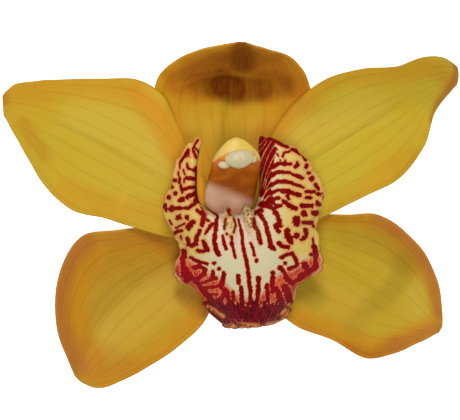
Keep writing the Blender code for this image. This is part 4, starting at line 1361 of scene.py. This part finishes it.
def area_light(name, place, power, colour):
    """A soft light at a place, turned to the bloom."""
    data = bpy.data.lights.new(name, "AREA")
    data.shape = "SQUARE"
    data.size = LIGHT_SIZE
    data.energy = power
    data.color = colour
    light = bpy.data.objects.new(name, data)
    light.location = place
    light.rotation_euler = (LIGHT_AIM - Vector(place)).to_track_quat("-Z", "Y").to_euler()
    bpy.context.scene.collection.objects.link(light)


def make_camera():
    """The camera at the drawing's eye, looking down on the bloom."""
    eye, right, up, forward = eye_frame()
    middle = PICTURE_SIZE / 2 - DRAWING_CENTRE
    eye = eye + DRAWING_STEP * (right * middle[0] - up * middle[1])
    data = bpy.data.cameras.new("camera")
    data.sensor_width = SENSOR_WIDTH
    data.lens = SENSOR_WIDTH * EYE_DISTANCE / DRAWING_STEP / PICTURE_SIZE[0]
    data.clip_start = 0.01
    data.clip_end = 10.0
    camera = bpy.data.objects.new("camera", data)
    turn = Matrix((right, up, -forward)).transposed()
    camera.matrix_world = Matrix.Translation((eye + AXIS_AT) * MM) @ turn.to_4x4()
    bpy.context.scene.collection.objects.link(camera)
    bpy.context.scene.camera = camera


class BLOOM_OT_stage(Operator):
    """Make the floor, the light, the sky and the camera"""

    bl_idname = "bloom.stage"
    bl_label = "Stage"

    def execute(self, context):
        """Set the stage round the bloom."""
        looks = context.scene.stage_looks
        mesh_builder = bmesh.new()
        bmesh.ops.create_grid(mesh_builder, x_segments=8, y_segments=8, size=FLOOR_SIZE)
        floor = make_object("floor", mesh_builder)
        floor.location.z = CAD_BOX[0].z - FLOOR_DROP
        floor.data.materials.append(floor_skin(looks))

        world = bpy.data.worlds.new("sky")
        world.use_nodes = True
        background = world.node_tree.nodes["Background"].inputs
        background["Color"].default_value = (*WHITE, 1.0)
        background["Strength"].default_value = looks.sky
        context.scene.world = world
        area_light("key_light", KEY_AT, looks.key_power, KEY_TONE)
        area_light("fill_light", FILL_AT, looks.fill_power, FILL_TONE)
        context.scene.view_settings.view_transform = "Standard"
        make_camera()
        return {"FINISHED"}


class BLOOM_PT_panel(Panel):
    """The bloom's pieces in the sidebar"""

    bl_idname = "BLOOM_PT_panel"
    bl_label = "Cymbidium bloom"
    bl_space_type = "VIEW_3D"
    bl_region_type = "UI"
    bl_category = "Bloom"

    def draw(self, context):
        """List the operators."""
        for operator in OPERATORS:
            self.layout.operator(operator.bl_idname)


OPERATORS = (BLOOM_OT_tepals, BLOOM_OT_lip, BLOOM_OT_column, BLOOM_OT_cap, BLOOM_OT_ovary, BLOOM_OT_stage)
LOOKS = {
    "tepal_looks": TepalLooks,
    "lip_looks": LipLooks,
    "column_looks": ColumnLooks,
    "stage_looks": StageLooks,
}


def register():
    """Register the looks, the operators and the panel."""
    for group in LOOKS.values():
        bpy.utils.register_class(group)
    for name, group in LOOKS.items():
        setattr(bpy.types.Scene, name, PointerProperty(type=group))
    for operator in OPERATORS:
        bpy.utils.register_class(operator)
    bpy.utils.register_class(BLOOM_PT_panel)


def unregister():
    """Remove what register added."""
    bpy.utils.unregister_class(BLOOM_PT_panel)
    for operator in reversed(OPERATORS):
        bpy.utils.unregister_class(operator)
    for name, group in LOOKS.items():
        delattr(bpy.types.Scene, name)
        bpy.utils.unregister_class(group)


def main():
    """Make every piece and the stage."""
    register()
    bpy.ops.bloom.tepals()
    bpy.ops.bloom.lip()
    bpy.ops.bloom.column()
    bpy.ops.bloom.cap()
    bpy.ops.bloom.ovary()
    bpy.ops.bloom.stage()


if __name__ == "__main__":
    main()
